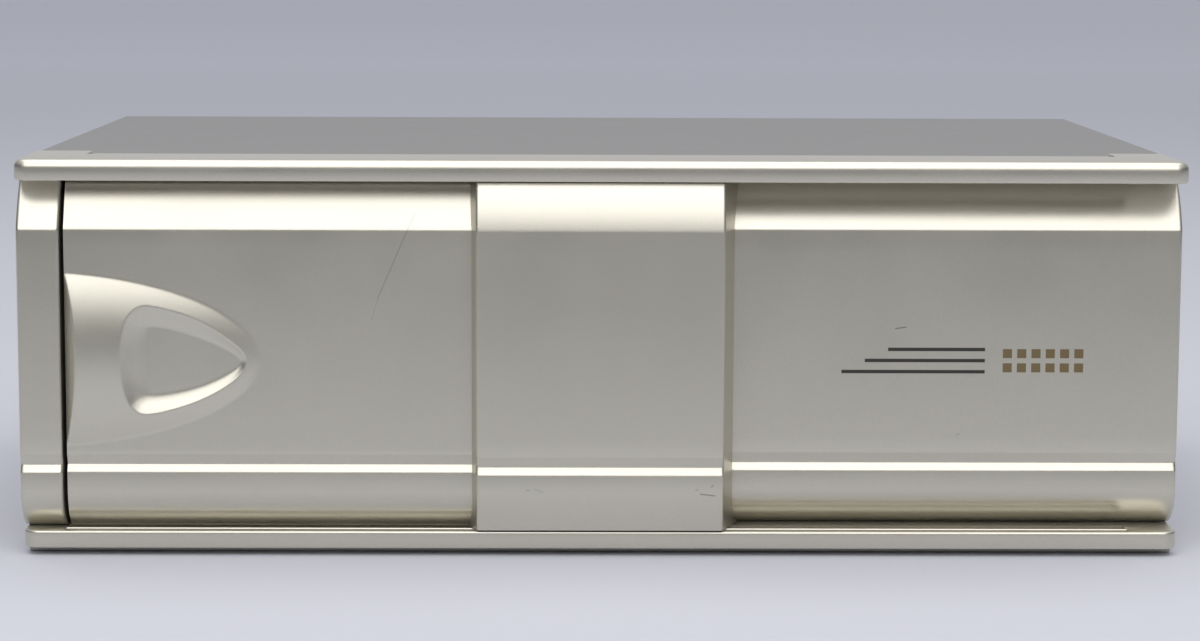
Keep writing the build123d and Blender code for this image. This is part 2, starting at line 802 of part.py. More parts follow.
# ---------------------------------------------------------------- rear panel
board_left = -cover_inner + board_inset
board_right = board_left + board_width
board_back = rear - board_setback
board_face = board_back - board_sheet
board_z = (board_margin, height - board_margin)
socket_x = -cover_side + socket_inset
with BuildPart() as rear_panel:
    with BuildSketch(Plane.XZ.offset(-rear)) as sheet:
        with Locations((0, (cover_under + chassis_sheet) / 2)):
            Rectangle(2 * cover_inner, cover_under - chassis_sheet)
        fillet(sheet.vertices().group_by(Axis.Z)[-1], bend_radius)
        with Locations((socket_x, socket_level)):
            Rectangle(socket_side + 2 * seam_gap, socket_side + 2 * seam_gap, mode=Mode.SUBTRACT)
    extrude(amount=rear_sheet)
    # posts of the main board
    for across in (board_left + post_inset, board_right - post_inset):
        for level in (board_z[0] + post_inset, board_z[1] - post_inset):
            spread = post_side / 2
            add(bar((across - spread, across + spread), (board_back, rear - rear_sheet),
                    (level - spread, level + spread)))

# ---------------------------------------------------------------- top cover
cover_low = chassis_sheet / 2
dial_spot = (rear - dial_forward, dial_level)
with BuildPart() as top_cover:
    with BuildSketch(Plane.XZ.offset(-seam_y)) as folded:
        with Locations((0, (height + cover_low) / 2)):
            Rectangle(2 * cover_side, height - cover_low)
        fillet(folded.vertices().group_by(Axis.Y)[-1], bend_radius)
        with BuildSketch(mode=Mode.SUBTRACT) as inside:
            with Locations((0, cover_under / 2)):
                Rectangle(2 * cover_inner, cover_under)
            fillet(inside.vertices().group_by(Axis.Y)[-1], bend_radius - cover_sheet)
    extrude(amount=-(rear - seam_y - seam_gap / 2))
    for side in (-1, 1):
        corner = (side * (corner_x - seam_gap / 2), side * half)
        add(bar(corner, (seam_y, corner_y + seam_gap / 2), (0, height)), mode=Mode.SUBTRACT)
    add(bar(mirrored(half), (seam_y, seam_y + seam_gap / 2), (0, height)), mode=Mode.SUBTRACT)
    # weld nuts
    spread = nut_side / 2
    for side in (-1, 1):
        for along, level in mount_spots:
            add(bar((side * (cover_inner - nut_sheet), side * cover_inner),
                    (along - spread, along + spread), (level - spread, level + spread)))
    # bracket holes and dial windows
    with BuildSketch(Plane.YZ.offset(-half)):
        with Locations(*mount_spots):
            Circle(mount_radius)
        with Locations(dial_spot):
            Circle(dial_radius + shaft_gap)
    extrude(amount=width, mode=Mode.SUBTRACT)

# ---------------------------------------------------------------- bay bezel
with BuildPart() as bay_bezel:
    add(bar((bay_left, bay_right), (bay_plane - bezel_sheet, bay_plane), (foot_edge, top_edge)))
    with BuildSketch(Plane.XZ.offset(-bay_plane + bezel_sheet)):
        with Locations((mag_middle, (mag_floor + mag_top) / 2)):
            Rectangle(mag_right - mag_left + 2 * bezel_gap, mag_top - mag_floor + 2 * bezel_gap)
    extrude(amount=-bezel_sheet, mode=Mode.SUBTRACT)
    rim = bay_bezel.faces().sort_by(Axis.Y)[0].inner_wires()[0].edges()
    chamfer(rim, bezel_sheet / 2)
    with BuildSketch(Plane.XZ.offset(-bay_plane + bezel_sheet)):
        with Locations((button_x, button_z)):
            Rectangle(button_width + 2 * bezel_gap, button_height + 2 * bezel_gap)
    extrude(amount=-bezel_sheet, mode=Mode.SUBTRACT)

# ---------------------------------------------------------------- eject button and its switch
flange_face = wall_back + run_gap / 3
button_back = flange_face + flange_sheet
half_size = (button_width / 2, button_height / 2)
with BuildPart() as eject_button:
    add(bar((button_x - half_size[0], button_x + half_size[0]),
            (bay_plane - bezel_sheet - button_proud, flange_face),
            (button_z - half_size[1], button_z + half_size[1])))
    chamfer(eject_button.edges().filter_by(Axis.Y), button_edge)
    chamfer(eject_button.faces().sort_by(Axis.Y)[0].edges(), button_edge)
    reach = [size + button_flange for size in half_size]
    add(bar((button_x - reach[0], button_x + reach[0]), (flange_face, button_back),
            (button_z - reach[1], button_z + reach[1])))
    stem = switch_size / 3
    add(bar((button_x - stem, button_x + stem), (button_back, button_back + button_stem),
            (button_z - stem, button_z + stem)))

switch_face = button_back + button_stem + button_travel + run_gap
switch_back = switch_face + switch_height
with BuildPart() as switch_board:
    end = reach[1] + 2 * pillar_side
    spread = switch_size / 2
    add(bar((button_x - half_size[0], button_x + half_size[0]), (switch_back, switch_back + switch_sheet),
            (button_z - end, button_z + end)))
    add(bar((button_x - spread, button_x + spread), (switch_face, switch_back),
            (button_z - spread, button_z + spread)))
    for level in (button_z - end, button_z + end - pillar_side):
        add(bar((button_x - pillar_side / 2, button_x + pillar_side / 2), (wall_back, switch_back),
                (level, level + pillar_side)))

# ---------------------------------------------------------------- main board and cable socket
# chips as shares of the board's width and height, with their sizes
chips = (
    (0.2, 0.68, 18, 18, 2.4),
    (0.5, 0.58, 24, 14, 2.4),
    (0.8, 0.66, 14, 14, 2.0),
    (0.44, 0.2, 30, 8, 7.0),
)
capacitor_shares = (0.67, 0.79)
with BuildPart() as main_board:
    add(bar((board_left, board_right), (board_face, board_back), board_z))
    for share_x, share_z, long, tall, thick in chips:
        across = board_left + share_x * board_width
        level = board_z[0] + share_z * (board_z[1] - board_z[0])
        add(bar((across - long / 2, across + long / 2), (board_face - thick, board_face),
                (level - tall / 2, level + tall / 2)))
    for share_x in capacitor_shares:
        start = (board_left + share_x * board_width, board_face, board_z[0] + 2 * post_inset)
        add(small_rod(start, (0, -1, 0), capacitor_radius, capacitor_height))

with BuildPart() as cable_socket:
    spread = socket_side / 2
    add(bar((socket_x - spread, socket_x + spread), (board_back, rear),
            (socket_level - spread, socket_level + spread)))
    with Locations(Plane((socket_x, rear, socket_level), z_dir=(0, 1, 0))):
        Hole(socket_bore, depth=socket_depth)

# ---------------------------------------------------------------- screws
with BuildPart() as cover_screws:
    for side in (-1, 1):
        for along, level in cover_spots:
            head = (side * cover_side, along, level)
            add(small_rod(head, (side, 0, 0), screw_head, head_height, screw_sides))

with BuildPart() as panel_screws:
    for across, level in (*cap_bosses, *panel_bosses):
        add(small_rod((across, wall_back, level), (0, 1, 0), screw_head, head_height, screw_sides))

# they lock the suspended mechanism: heads outside, shanks between cover and frame
with BuildPart() as transport_screws:
    for side in (-1, 1):
        lock_y = rear - lock_forward
        head = (side * cover_side, lock_y, lock_level)
        add(small_rod(head, (side, 0, 0), screw_head, head_height, screw_sides))
        shank = (side * frame_half, lock_y, lock_level)
        add(small_rod(shank, (side, 0, 0), screw_radius, side_room, screw_sides))

# ---------------------------------------------------------------- magazine
with BuildPart() as magazine_case:
    add(bar((mag_left, mag_right), (mag_face, mag_rear), (mag_floor, lid_low)))
    add(bar((mag_left + mag_wall, mag_right), (disc_y - cavity_half, disc_y + cavity_half),
            (mag_floor + mag_wall, lid_low)), mode=Mode.SUBTRACT)
    for level in tray_levels:
        add(bar((mag_left + mag_wall, mag_right), (disc_y - groove_half, disc_y + groove_half),
                (level - run_gap, level + tray_sheet + run_gap)), mode=Mode.SUBTRACT)
    lower_edge = magazine_case.edges().filter_by(Axis.X).group_by(Axis.Z)[0].sort_by(Axis.Y)[0]
    chamfer(lower_edge, nose_chamfer)
    grip_z = (mag_floor + lid_low) / 2
    add(bar((mag_middle - grip_width / 2, mag_middle + grip_width / 2), (mag_face, mag_face + grip_depth),
            (grip_z - grip_height / 2, grip_z + grip_height / 2)), mode=Mode.SUBTRACT)

with BuildPart() as magazine_lid:
    add(bar((mag_left, mag_right), (mag_face, mag_rear), (lid_low, mag_top)))
    upper_edge = magazine_lid.edges().filter_by(Axis.X).group_by(Axis.Z)[-1].sort_by(Axis.Y)[0]
    chamfer(upper_edge, nose_chamfer)


def disc_tray(level):
    """Tray: sheet with an opening for the turntable, stop rim on the left and hook ear."""
    slot_half = tray_slot / 2
    slot_end = disc_x - slot_half
    rim_radius = disc_diameter / 2 + tray_play
    arc_points = [(disc_x + rim_radius * cos(radians(turn)), disc_y + rim_radius * sin(radians(turn)))
                  for turn in range(120, 241, 20)]
    with BuildPart() as tray:
        with BuildSketch(Plane.XY.offset(level)):
            with BuildLine():
                Polyline(
                    (tray_left, disc_y - tray_half),
                    (tray_right, disc_y - tray_half),
                    (tray_right, disc_y - slot_half),
                    (disc_x, disc_y - slot_half),
                    (slot_end, disc_y - slot_half / 2),
                    (slot_end, disc_y + slot_half / 2),
                    (disc_x, disc_y + slot_half),
                    (tray_right, disc_y + slot_half),
                    (tray_right, tray_rear - ear_width),
                    (tray_right + tray_ear, tray_rear - ear_width),
                    (tray_right + tray_ear, tray_rear),
                    (hook_x + notch_width / 2, tray_rear),
                    (hook_x + notch_width / 2, tray_rear - notch_depth),
                    (hook_x - notch_width / 2, tray_rear - notch_depth),
                    (hook_x - notch_width / 2, tray_rear),
                    (tray_left, tray_rear),
                    close=True,
                )
            make_face()
        extrude(amount=tray_sheet)
        with BuildSketch(Plane.XY.offset(level + tray_sheet)):
            rim_half = cavity_half - run_gap
            with BuildLine():
                Polyline(
                    (tray_left, disc_y - rim_half),
                    (arc_points[-1][0], disc_y - rim_half),
                    *reversed(arc_points),
                    (arc_points[0][0], disc_y + rim_half),
                    (tray_left, disc_y + rim_half),
                    close=True,
                )
            make_face()
        extrude(amount=tray_rim)
    return tray


trays = [disc_tray(level) for level in tray_levels]

# ---------------------------------------------------------------- suspended frame
journal_bore = journal_radius + shaft_gap
side_front = wall_back + frame_front
ejector_low = plate_top + run_gap
ejector_rear = mag_rear + run_gap + ejector_sheet
ejector_y = (ejector_rear - ejector_length, ejector_rear)
key_spots = [ejector_y[0] + 2 * key_length, ejector_y[1] - eject_travel - key_length - 2 * ejector_sheet]
with BuildPart() as mechanism_frame:
    add(bar(mirrored(frame_half), (wall_back + front_gap, frame_rear), (plate_low, plate_top)))
    for side in (-1, 1):
        add(bar((side * frame_wall, side * frame_half), (side_front, frame_rear), (plate_low, roof_low)))
        peg = (side * frame_half, side * (frame_half + coil_radius + wire_radius + run_gap))
        spread = spring_peg / 2
        add(bar(peg, (dial_spot[0] - spread, dial_spot[0] + spread),
                (peg_level - spread, peg_level + spread)))
    # windows under magazine and drive
    with BuildSketch(Plane.XY.offset(plate_low)):
        with Locations((lift_x, rod_y)):
            Circle(journal_bore)
        with Locations((mag_middle, disc_y - drive_front)):
            Rectangle(mag_right - mag_left - 3 * guide_width, disc_diameter / 2)
        with Locations((spindle_x, disc_y - drive_front)):
            Rectangle(disc_diameter * 2 / 3, disc_diameter / 2)
    extrude(amount=frame_sheet, mode=Mode.SUBTRACT)
    # keys that guide the ejector
    head_low = ejector_low + ejector_sheet + run_gap
    for along in key_spots:
        neck = (mag_middle - key_width / 2, mag_middle + key_width / 2)
        add(bar(neck, (along, along + key_length), (plate_top, head_low)))
        head = (mag_middle - key_width, mag_middle + key_width)
        add(bar(head, (along, along + key_length), (head_low, head_low + ejector_sheet)))

with BuildPart() as mechanism_top:
    add(bar(mirrored(frame_half), (side_front, frame_rear), (roof_low, roof_low + frame_sheet)))
    with BuildSketch(Plane.XY.offset(roof_low)):
        with Locations((lift_x, rod_y)):
            Circle(journal_bore)
        with Locations((mag_middle, disc_y)):
            Rectangle(mag_right - mag_left - 2 * guide_width, disc_diameter * 3 / 4)
        with Locations(((mag_right + frame_half) / 2, disc_y)):
            Rectangle(frame_half - mag_right - 2 * guide_width, disc_diameter * 3 / 4)
    extrude(amount=frame_sheet, mode=Mode.SUBTRACT)

with BuildPart() as magazine_guides:
    seat = mag_floor - run_gap
    along = (wall_back + guide_setback, mag_rear - guide_setback)
    add(bar((-frame_wall, mag_left + guide_width / 2), along, (plate_top, seat)))
    add(bar((-frame_wall, mag_left - run_gap), along, (seat, seat + guide_height)))
    add(bar((mag_right - guide_width / 2, mag_right + run_gap + guide_sheet), along, (plate_top, seat)))
    add(bar((mag_right + run_gap, mag_right + run_gap + guide_sheet), along, (seat, seat + guide_lip)))

with BuildPart() as ejector:
    slide_x = (mag_middle - ejector_width / 2, mag_middle + ejector_width / 2)
    add(bar(slide_x, ejector_y, (ejector_low, ejector_low + ejector_sheet)))
    add(bar(slide_x, (ejector_rear - ejector_sheet, ejector_rear),
            (ejector_low, ejector_low + ejector_height)))
    for along in key_spots:
        spread = key_width / 2 + run_gap
        add(bar((mag_middle - spread, mag_middle + spread),
                (along - run_gap, along + key_length + eject_travel + run_gap),
                (ejector_low, ejector_low + ejector_sheet)), mode=Mode.SUBTRACT)

# ---------------------------------------------------------------- suspension
with BuildPart() as rubber_dampers:
    for side in (-1, 1):
        for along in (side_front + damper_inset[0], frame_rear - damper_inset[1]):
            start = (side * frame_half, along, damper_level)
            add(small_rod(start, (side, 0, 0), damper_radius, side_room, damper_sides))


def suspension_dial(side):
    """Round dial with a coin slot, carried in the cover's window by its flange."""
    outer = cover_side - run_gap
    shoulder = cover_inner - run_gap
    inner = shoulder - dial_sheet
    with BuildPart() as dial:
        add(rod((side * shoulder, *dial_spot), (side, 0, 0), dial_radius, outer - shoulder))
        start = (side * inner, *dial_spot)
        add(small_rod(start, (side, 0, 0), dial_radius + dial_flange, dial_sheet, can_sides))
        add(bar((side * (outer - dial_slot / 2), side * outer),
                (dial_spot[0] - dial_radius, dial_spot[0] + dial_radius),
                (dial_level - dial_slot / 2, dial_level + dial_slot / 2)), mode=Mode.SUBTRACT)
    return dial


left_dial = suspension_dial(-1)
right_dial = suspension_dial(1)

with BuildPart() as suspension_springs:
    coil_x = frame_half + coil_radius + 2 * run_gap
    low = peg_level + spring_peg / 2
    high = dial_level - dial_radius - dial_flange - run_gap
    end = coil_radius
    for side in (-1, 1):
        place = (side * coil_x, dial_spot[0])
        add(small_rod((*place, low), (0, 0, 1), wire_radius, high - low, screw_sides))
        add(small_rod((*place, low + end), (0, 0, 1), coil_radius, high - low - 2 * end))

# ---------------------------------------------------------------- lift
with BuildPart() as guide_rods:
    for across in (rod_left_x, rod_right_x):
        add(rod((across, rod_y, plate_top), (0, 0, 1), rod_radius, roof_low - plate_top))

gear_low = plate_top + 2 * run_gap
gear_distance = gear_module * (lift_teeth + pinion_teeth) / 2
motor_back = motor_offset * rear_room
motor_x = lift_x - sqrt(gear_distance ** 2 - motor_back ** 2)
motor_y = rod_y + motor_back
motor_turn = degrees(atan2(motor_back, motor_x - lift_x))
motor_radius = motor_share * rear_room
with BuildPart() as lift_screw:
    low = plate_top + run_gap
    add(rod((lift_x, rod_y, low), (0, 0, 1), lift_radius, roof_low - run_gap - low))
    add(rod((lift_x, rod_y, plate_low), (0, 0, 1), journal_radius, roof_low + frame_sheet - plate_low))

with BuildPart() as lift_gear:
    add(gear((lift_x, rod_y), gear_low, lift_teeth, lift_radius + shaft_gap / 3, motor_turn))

motor_low = gear_low + gear_thickness + 5 * run_gap
with BuildPart() as lift_pinion:
    half_pitch = 180 / pinion_teeth
    bore = motor_shaft - run_gap / 3
    add(gear((motor_x, motor_y), gear_low, pinion_teeth, bore, motor_turn + 180 + half_pitch))
    add(rod((motor_x, motor_y, gear_low), (0, 0, 1), motor_shaft, motor_low - gear_low))

with BuildPart() as lift_motor:
    add(small_rod((motor_x, motor_y, motor_low), (0, 0, 1), motor_radius, motor_height, can_sides))
    # legs on the side away from the gear
    leg_y = motor_y + leg_back * motor_radius
    for side in (-1, 1):
        leg_x = motor_x + side * leg_spread * motor_radius
        add(bar((leg_x - leg_side / 2, leg_x + leg_side / 2), (leg_y, leg_y + leg_side),
                (plate_top, motor_low)))

# ---------------------------------------------------------------- drive carriage
deck = deck_level + drive_sheet
boss_low = deck_level - boss_drop
loader_room = rod_y - boss_half - tray_rear
rail_y = tray_rear + rail_share * loader_room
belt_y = tray_rear + belt_share * loader_room
pulley_radius = pulley_share * loader_room
pulley_reach = pulley_radius + belt_sheet
belt_left = mag_right + belt_inset + pulley_reach
belt_right = frame_wall - belt_inset - pulley_reach
strip = (mag_right + strip_inset[0], frame_wall - strip_inset[1])
strip_rear = belt_y + pulley_reach + strip_edge
drive_x = (mag_right + drive_inset, frame_wall - drive_gap)
plate_y = (disc_y - tray_half + drive_front, strip_rear)
pivot_z = tray_levels[0] + tray_sheet + tray_rim + puck_rise + pivot_rise
pivot_y = rod_y - boss_half + pivot_set
ear_gap = arm_width + 2 * run_gap
sled_left = spindle_x + sled_start
holder_left = sled_left - holder_sheet - holder_gap
holder_right = sled_left + sled_length + sled_travel + holder_gap
sled_rod_z = deck + sled_rod_rise
sled_top = deck + sled_rise + sled_height
feed_y = spindle_y - feed_offset
feed_z = deck + feed_rise
rod_ys = [spindle_y + side * sled_rod_span / 2 for side in (-1, 1)]
holder_reach = 2 * sled_rod_radius + holder_edge
with BuildPart() as drive_carriage:
    add(bar(drive_x, plate_y, (deck_level, deck)))
    add(bar(strip, (tray_rear + 2 * run_gap, strip_rear), (deck_level, deck)))
    for across in (rod_left_x, lift_x, rod_right_x):
        spread = boss_half + run_gap
        add(bar((across - spread, across + spread), (strip_rear - strip_edge, rod_y + boss_half),
                (deck_level, deck)))
        add(bar((across - boss_half, across + boss_half), (rod_y - boss_half, rod_y + boss_half),
                (boss_low, boss_low + boss_height)))
    ear_half = ear_gap / 2 + ear_sheet
    add(bar((spindle_x - ear_half, spindle_x + ear_half),
            (strip_rear - strip_edge, pivot_y + ear_reach), (deck_level, deck)))
    with BuildSketch(Plane.XY.offset(boss_low)):
        with Locations((rod_left_x, rod_y), (rod_right_x, rod_y)):
            Circle(rod_radius + shaft_gap)
        with Locations((lift_x, rod_y)):
            Circle(lift_radius + shaft_gap)
    extrude(amount=boss_height, mode=Mode.SUBTRACT)
    # spindle hole, windows in the plate and the hole for the loading motor's shaft
    with BuildSketch(Plane.XY.offset(deck_level)):
        with Locations((spindle_x, spindle_y)):
            Rectangle(spindle_hole, spindle_hole)
        with Locations(((drive_x[0] + spindle_x - spindle_motor_radius) / 2, spindle_y)):
            Rectangle(spindle_x - spindle_motor_radius - drive_x[0] - 2 * plate_edge, disc_diameter / 2)
        window_low = rod_ys[1] + holder_reach + plate_edge
        window_high = tray_rear - plate_edge
        with Locations(((holder_left + holder_right) / 2, (window_low + window_high) / 2)):
            Rectangle(holder_right - holder_left - plate_edge, window_high - window_low)
        with Locations((belt_left, belt_y), (belt_right, belt_y)):
            Rectangle(pulley_hole, pulley_hole)
    extrude(amount=drive_sheet, mode=Mode.SUBTRACT)
    # rail of the tray loader
    add(bar(strip, (rail_y - rail_width / 2, rail_y + rail_width / 2), (deck, deck + rail_height)))
    # ears that carry the clamp arm
    for side in (-1, 1):
        ear_x = (spindle_x + side * ear_gap / 2, spindle_x + side * ear_half)
        add(bar(ear_x, (pivot_y - ear_reach, pivot_y + ear_reach), (deck, deck + ear_height)))
    reach = screw_radius + shaft_gap
    add(bar((spindle_x - ear_half, spindle_x + ear_half), (pivot_y - reach, pivot_y + ear_reach),
            (pivot_z - reach, pivot_z + reach)), mode=Mode.SUBTRACT)
    # holders of the sled rods and the feed screw
    add(bar((holder_left, holder_left + holder_sheet), (feed_y - holder_reach, rod_ys[1] + holder_reach),
            (deck, sled_top)))
    add(bar((holder_right, holder_right + holder_sheet), (rod_ys[0] - holder_reach, rod_ys[1] + holder_reach),
            (deck, sled_top)))

# ---------------------------------------------------------------- spindle, clamp
with BuildPart() as spindle_motor:
    low = deck_level - spindle_motor_height
    start = (spindle_x, spindle_y, low)
    add(small_rod(start, (0, 0, 1), spindle_motor_radius, spindle_motor_height, can_sides))

seat_top = first_tray + tray_sheet - turntable_top
platter_low = seat_top - turntable_sheet
with BuildPart() as turntable:
    low = deck_level + run_gap / 3
    add(rod((spindle_x, spindle_y, low), (0, 0, 1), spindle_radius, platter_low - low))
    start = (spindle_x, spindle_y, platter_low)
    add(small_rod(start, (0, 0, 1), turntable_radius, turntable_sheet, can_sides))
    start = (spindle_x, spindle_y, seat_top)
    add(small_rod(start, (0, 0, 1), hub_radius, hub_height, can_sides))
    chamfer(turntable.faces().sort_by(Axis.Z)[-1].edges(), hub_taper)

puck_low = tray_levels[0] + tray_sheet + tray_rim + puck_rise
arm_low = puck_low + arm_rise
with BuildPart() as clamp_arm:
    arm_x = (spindle_x - arm_width / 2, spindle_x + arm_width / 2)
    add(bar(arm_x, (spindle_y, pivot_y), (arm_low, arm_low + arm_sheet)))
    add(small_rod((spindle_x, spindle_y, arm_low), (0, 0, 1), arm_width, arm_sheet))
    add(bar(arm_x, (pivot_y - pivot_half, pivot_y + pivot_half),
            (pivot_z - pivot_half, arm_low + arm_sheet)))
    pin = ear_gap + 2 * ear_sheet
    add(rod((spindle_x - pin / 2, pivot_y, pivot_z), (1, 0, 0), screw_radius, pin))
    # slot, open to the front, in which the puck hangs
    reach = puck_stem + shaft_gap
    add(bar((spindle_x - reach, spindle_x + reach), (spindle_y - arm_width, spindle_y + reach),
            (arm_low, arm_low + arm_sheet)), mode=Mode.SUBTRACT)

with BuildPart() as clamp_puck:
    start = (spindle_x, spindle_y, puck_low)
    add(small_rod(start, (0, 0, 1), puck_radius, puck_height, can_sides))
    # room for the turntable's hub
    add(small_rod(start, (0, 0, 1), hub_radius + hub_taper, puck_height - puck_roof, can_sides),
        mode=Mode.SUBTRACT)
    cap_low = arm_low + arm_sheet + run_gap
    roof_z = puck_low + puck_height
    add(rod((spindle_x, spindle_y, roof_z), (0, 0, 1), puck_stem, cap_low - roof_z))
    add(small_rod((spindle_x, spindle_y, cap_low), (0, 0, 1), puck_stem + puck_cap, drive_sheet))

# ---------------------------------------------------------------- pickup
with BuildPart() as sled_rods:
    start = holder_left + holder_sheet
    for along in rod_ys:
        add(rod((start, along, sled_rod_z), (1, 0, 0), sled_rod_radius, holder_right - start))

with BuildPart() as pickup_sled:
    low = deck + sled_rise
    add(bar((sled_left, sled_left + sled_length), (rod_ys[0] - sled_reach, rod_ys[1] + sled_reach),
            (low, sled_top)))
    add(bar((sled_left, sled_left + nut_length), (feed_y - sled_reach, rod_ys[0]),
            (low, sled_top - run_gap)))
    with BuildSketch(Plane.YZ.offset(sled_left)):
        with Locations((rod_ys[0], sled_rod_z)):
            Circle(sled_rod_radius + shaft_gap)
        with Locations((feed_y, feed_z)):
            Circle(feed_radius + shaft_gap)
    extrude(amount=sled_length, mode=Mode.SUBTRACT)
    # fork on the rear rod and seat of the lens holder
    reach = sled_rod_radius + shaft_gap
    add(bar((sled_left, sled_left + sled_length), (rod_ys[1] - reach, rod_ys[1] + sled_reach),
            (sled_rod_z - reach, sled_rod_z + reach)), mode=Mode.SUBTRACT)
    lens_x = sled_left + sled_length / 2
    seat = lens_side / 2 + lens_edge
    add(bar((lens_x - seat, lens_x + seat), (spindle_y - seat, spindle_y + seat),
            (sled_top - lens_seat, sled_top)), mode=Mode.SUBTRACT)

with BuildPart() as pickup_lens:
    spread = lens_side / 2
    add(bar((lens_x - spread, lens_x + spread), (spindle_y - spread, spindle_y + spread),
            (sled_top - lens_seat, sled_top - lens_edge)))
    add(rod((lens_x, spindle_y, sled_top - lens_edge), (0, 0, 1), lens_radius, 2 * lens_edge))

feed_end = sled_left + nut_length + sled_travel + 2 * run_gap
with BuildPart() as sled_screw:
    start = holder_left + holder_sheet
    add(rod((start, feed_y, feed_z), (1, 0, 0), feed_radius, feed_end - start))

with BuildPart() as sled_motor:
    with BuildSketch(Plane.YZ.offset(feed_end)) as can:
        with Locations((feed_y, feed_z)):
            Rectangle(feed_width, 2 * feed_rise)
        chamfer(can.vertices(), feed_rise / 2)
    extrude(amount=feed_length)

# ---------------------------------------------------------------- tray loader
hook_low = deck + run_gap
hook_top = deck + hook_rise
with BuildPart() as loading_hook:
    block_x = (hook_x - hook_width / 2, hook_x + hook_width / 2)
    block_rear = belt_y - pulley_reach - run_gap
    add(bar(block_x, (tray_rear + hook_gap, block_rear), (hook_low, hook_top)))
    add(bar((hook_x - notch_width / 2 + run_gap, hook_x + notch_width / 2 - run_gap),
            (tray_rear - notch_depth + finger_set, tray_rear + finger_root),
            (first_tray - finger_drop, hook_top)))
    spread = rail_width / 2 + rail_play
    add(bar(block_x, (rail_y - spread, rail_y + spread), (hook_low, deck + rail_height + run_gap)),
        mode=Mode.SUBTRACT)

belt_low = deck + belt_rise
with BuildPart() as loading_belt:
    with BuildSketch(Plane.XY.offset(belt_low)):
        with Locations(((belt_left + belt_right) / 2, belt_y)):
            SlotCenterToCenter(belt_right - belt_left, 2 * pulley_reach)
            SlotCenterToCenter(belt_right - belt_left, 2 * (pulley_radius + shaft_gap), mode=Mode.SUBTRACT)
    extrude(amount=belt_height)


def pulley(across):
    """Belt pulley on a short shaft that turns in the carriage plate."""
    with BuildPart() as wheel:
        start = (across, belt_y, belt_low - run_gap)
        add(rod(start, (0, 0, 1), pulley_radius, belt_height + 2 * run_gap))
        add(small_rod((across, belt_y, deck_level), (0, 0, 1), pulley_hole / 3, belt_low - deck_level))
    return wheel


drive_pulley = pulley(belt_left)
idler_pulley = pulley(belt_right)

with BuildPart() as loading_motor:
    low = deck_level - loading_height
    add(small_rod((belt_left, belt_y, low), (0, 0, 1), loading_radius, loading_height, can_sides))

# ---------------------------------------------------------------- written pieces
pieces = dict(
    bottom_chassis=bottom_chassis,
    bay_wall=bay_wall,
    rear_panel=rear_panel,
    top_cover=top_cover,
    upper_front_rail=upper_front_rail,
    lower_front_rail=lower_front_rail,
    left_end_cap=left_end_cap,
    right_panel=right_panel,
    inner_door=inner_door,
    outer_door=outer_door,
    bay_bezel=bay_bezel,
    eject_button=eject_button,
    switch_board=switch_board,
    main_board=main_board,
    cable_socket=cable_socket,
    cover_screws=cover_screws,
    panel_screws=panel_screws,
    transport_screws=transport_screws,
    magazine_case=magazine_case,
    magazine_lid=magazine_lid,
    mechanism_frame=mechanism_frame,
    mechanism_top=mechanism_top,
    magazine_guides=magazine_guides,
    ejector=ejector,
    rubber_dampers=rubber_dampers,
    suspension_springs=suspension_springs,
    left_dial=left_dial,
    right_dial=right_dial,
    guide_rods=guide_rods,
    lift_screw=lift_screw,
    lift_gear=lift_gear,
    lift_pinion=lift_pinion,
    lift_motor=lift_motor,
    drive_carriage=drive_carriage,
    spindle_motor=spindle_motor,
    turntable=turntable,
    clamp_arm=clamp_arm,
    clamp_puck=clamp_puck,
    sled_rods=sled_rods,
    pickup_sled=pickup_sled,
    pickup_lens=pickup_lens,
    sled_screw=sled_screw,
    sled_motor=sled_motor,
    loading_hook=loading_hook,
    loading_belt=loading_belt,
    drive_pulley=drive_pulley,
    idler_pulley=idler_pulley,
    loading_motor=loading_motor,
)
for number, tray in enumerate(trays, start=1):
    pieces[f"tray_{number:02d}"] = tray

for name, piece in pieces.items():
    piece.part.label = name
    export_step(piece.part, f"parts/{name}.step")
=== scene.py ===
"""Looks of a car disc changer around its CAD frame: moulded silver front, painted cover, inner works."""

import json
import math

import bmesh
import bpy
from mathutils import Matrix, Vector


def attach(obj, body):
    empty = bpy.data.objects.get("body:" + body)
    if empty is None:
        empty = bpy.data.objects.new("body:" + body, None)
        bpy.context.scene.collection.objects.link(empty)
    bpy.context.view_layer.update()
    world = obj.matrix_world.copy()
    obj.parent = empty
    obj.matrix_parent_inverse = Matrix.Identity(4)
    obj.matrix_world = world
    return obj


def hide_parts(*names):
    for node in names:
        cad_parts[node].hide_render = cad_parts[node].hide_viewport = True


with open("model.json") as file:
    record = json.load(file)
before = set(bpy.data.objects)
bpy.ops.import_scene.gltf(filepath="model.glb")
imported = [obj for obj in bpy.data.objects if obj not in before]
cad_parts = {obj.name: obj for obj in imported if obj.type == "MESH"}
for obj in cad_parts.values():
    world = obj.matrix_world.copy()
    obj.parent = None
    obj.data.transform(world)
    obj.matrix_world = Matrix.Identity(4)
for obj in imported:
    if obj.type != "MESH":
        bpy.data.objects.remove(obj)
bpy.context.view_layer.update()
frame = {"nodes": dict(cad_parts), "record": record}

MM = 0.001

# ---------------------------------------------------------------- places, in millimetres
FRONT = -92.8            # front plane of both rails
HALF = 150.0
LIP_BOTTOM = 96.5
LIP_TOP = 102.0
TOP_EDGE = 96.2
LEDGE = 6.3
FOOT_EDGE = 6.6
CREASE = 84.0
GROOVE = ((26.0, 0.0), (23.4, 1.1), (21.3, 0.0))
BAY_PLANE = -77.0
CORNER_Y = -60.8
SEAM_Y = -70.8
CORNER_X = 134.0
CAP_SIDE = 149.5
CAP_RIGHT = -138.5
INNER_LEFT = -137.5
INNER_RIGHT = -19.4
PANEL_LEFT = 16.5
OUTER_LEFT = -32.1
OUTER_RIGHT = 31.2
SIDE_LEAN = 0.33
TRACK_RIGHT = 136.4
WALL = 2.2

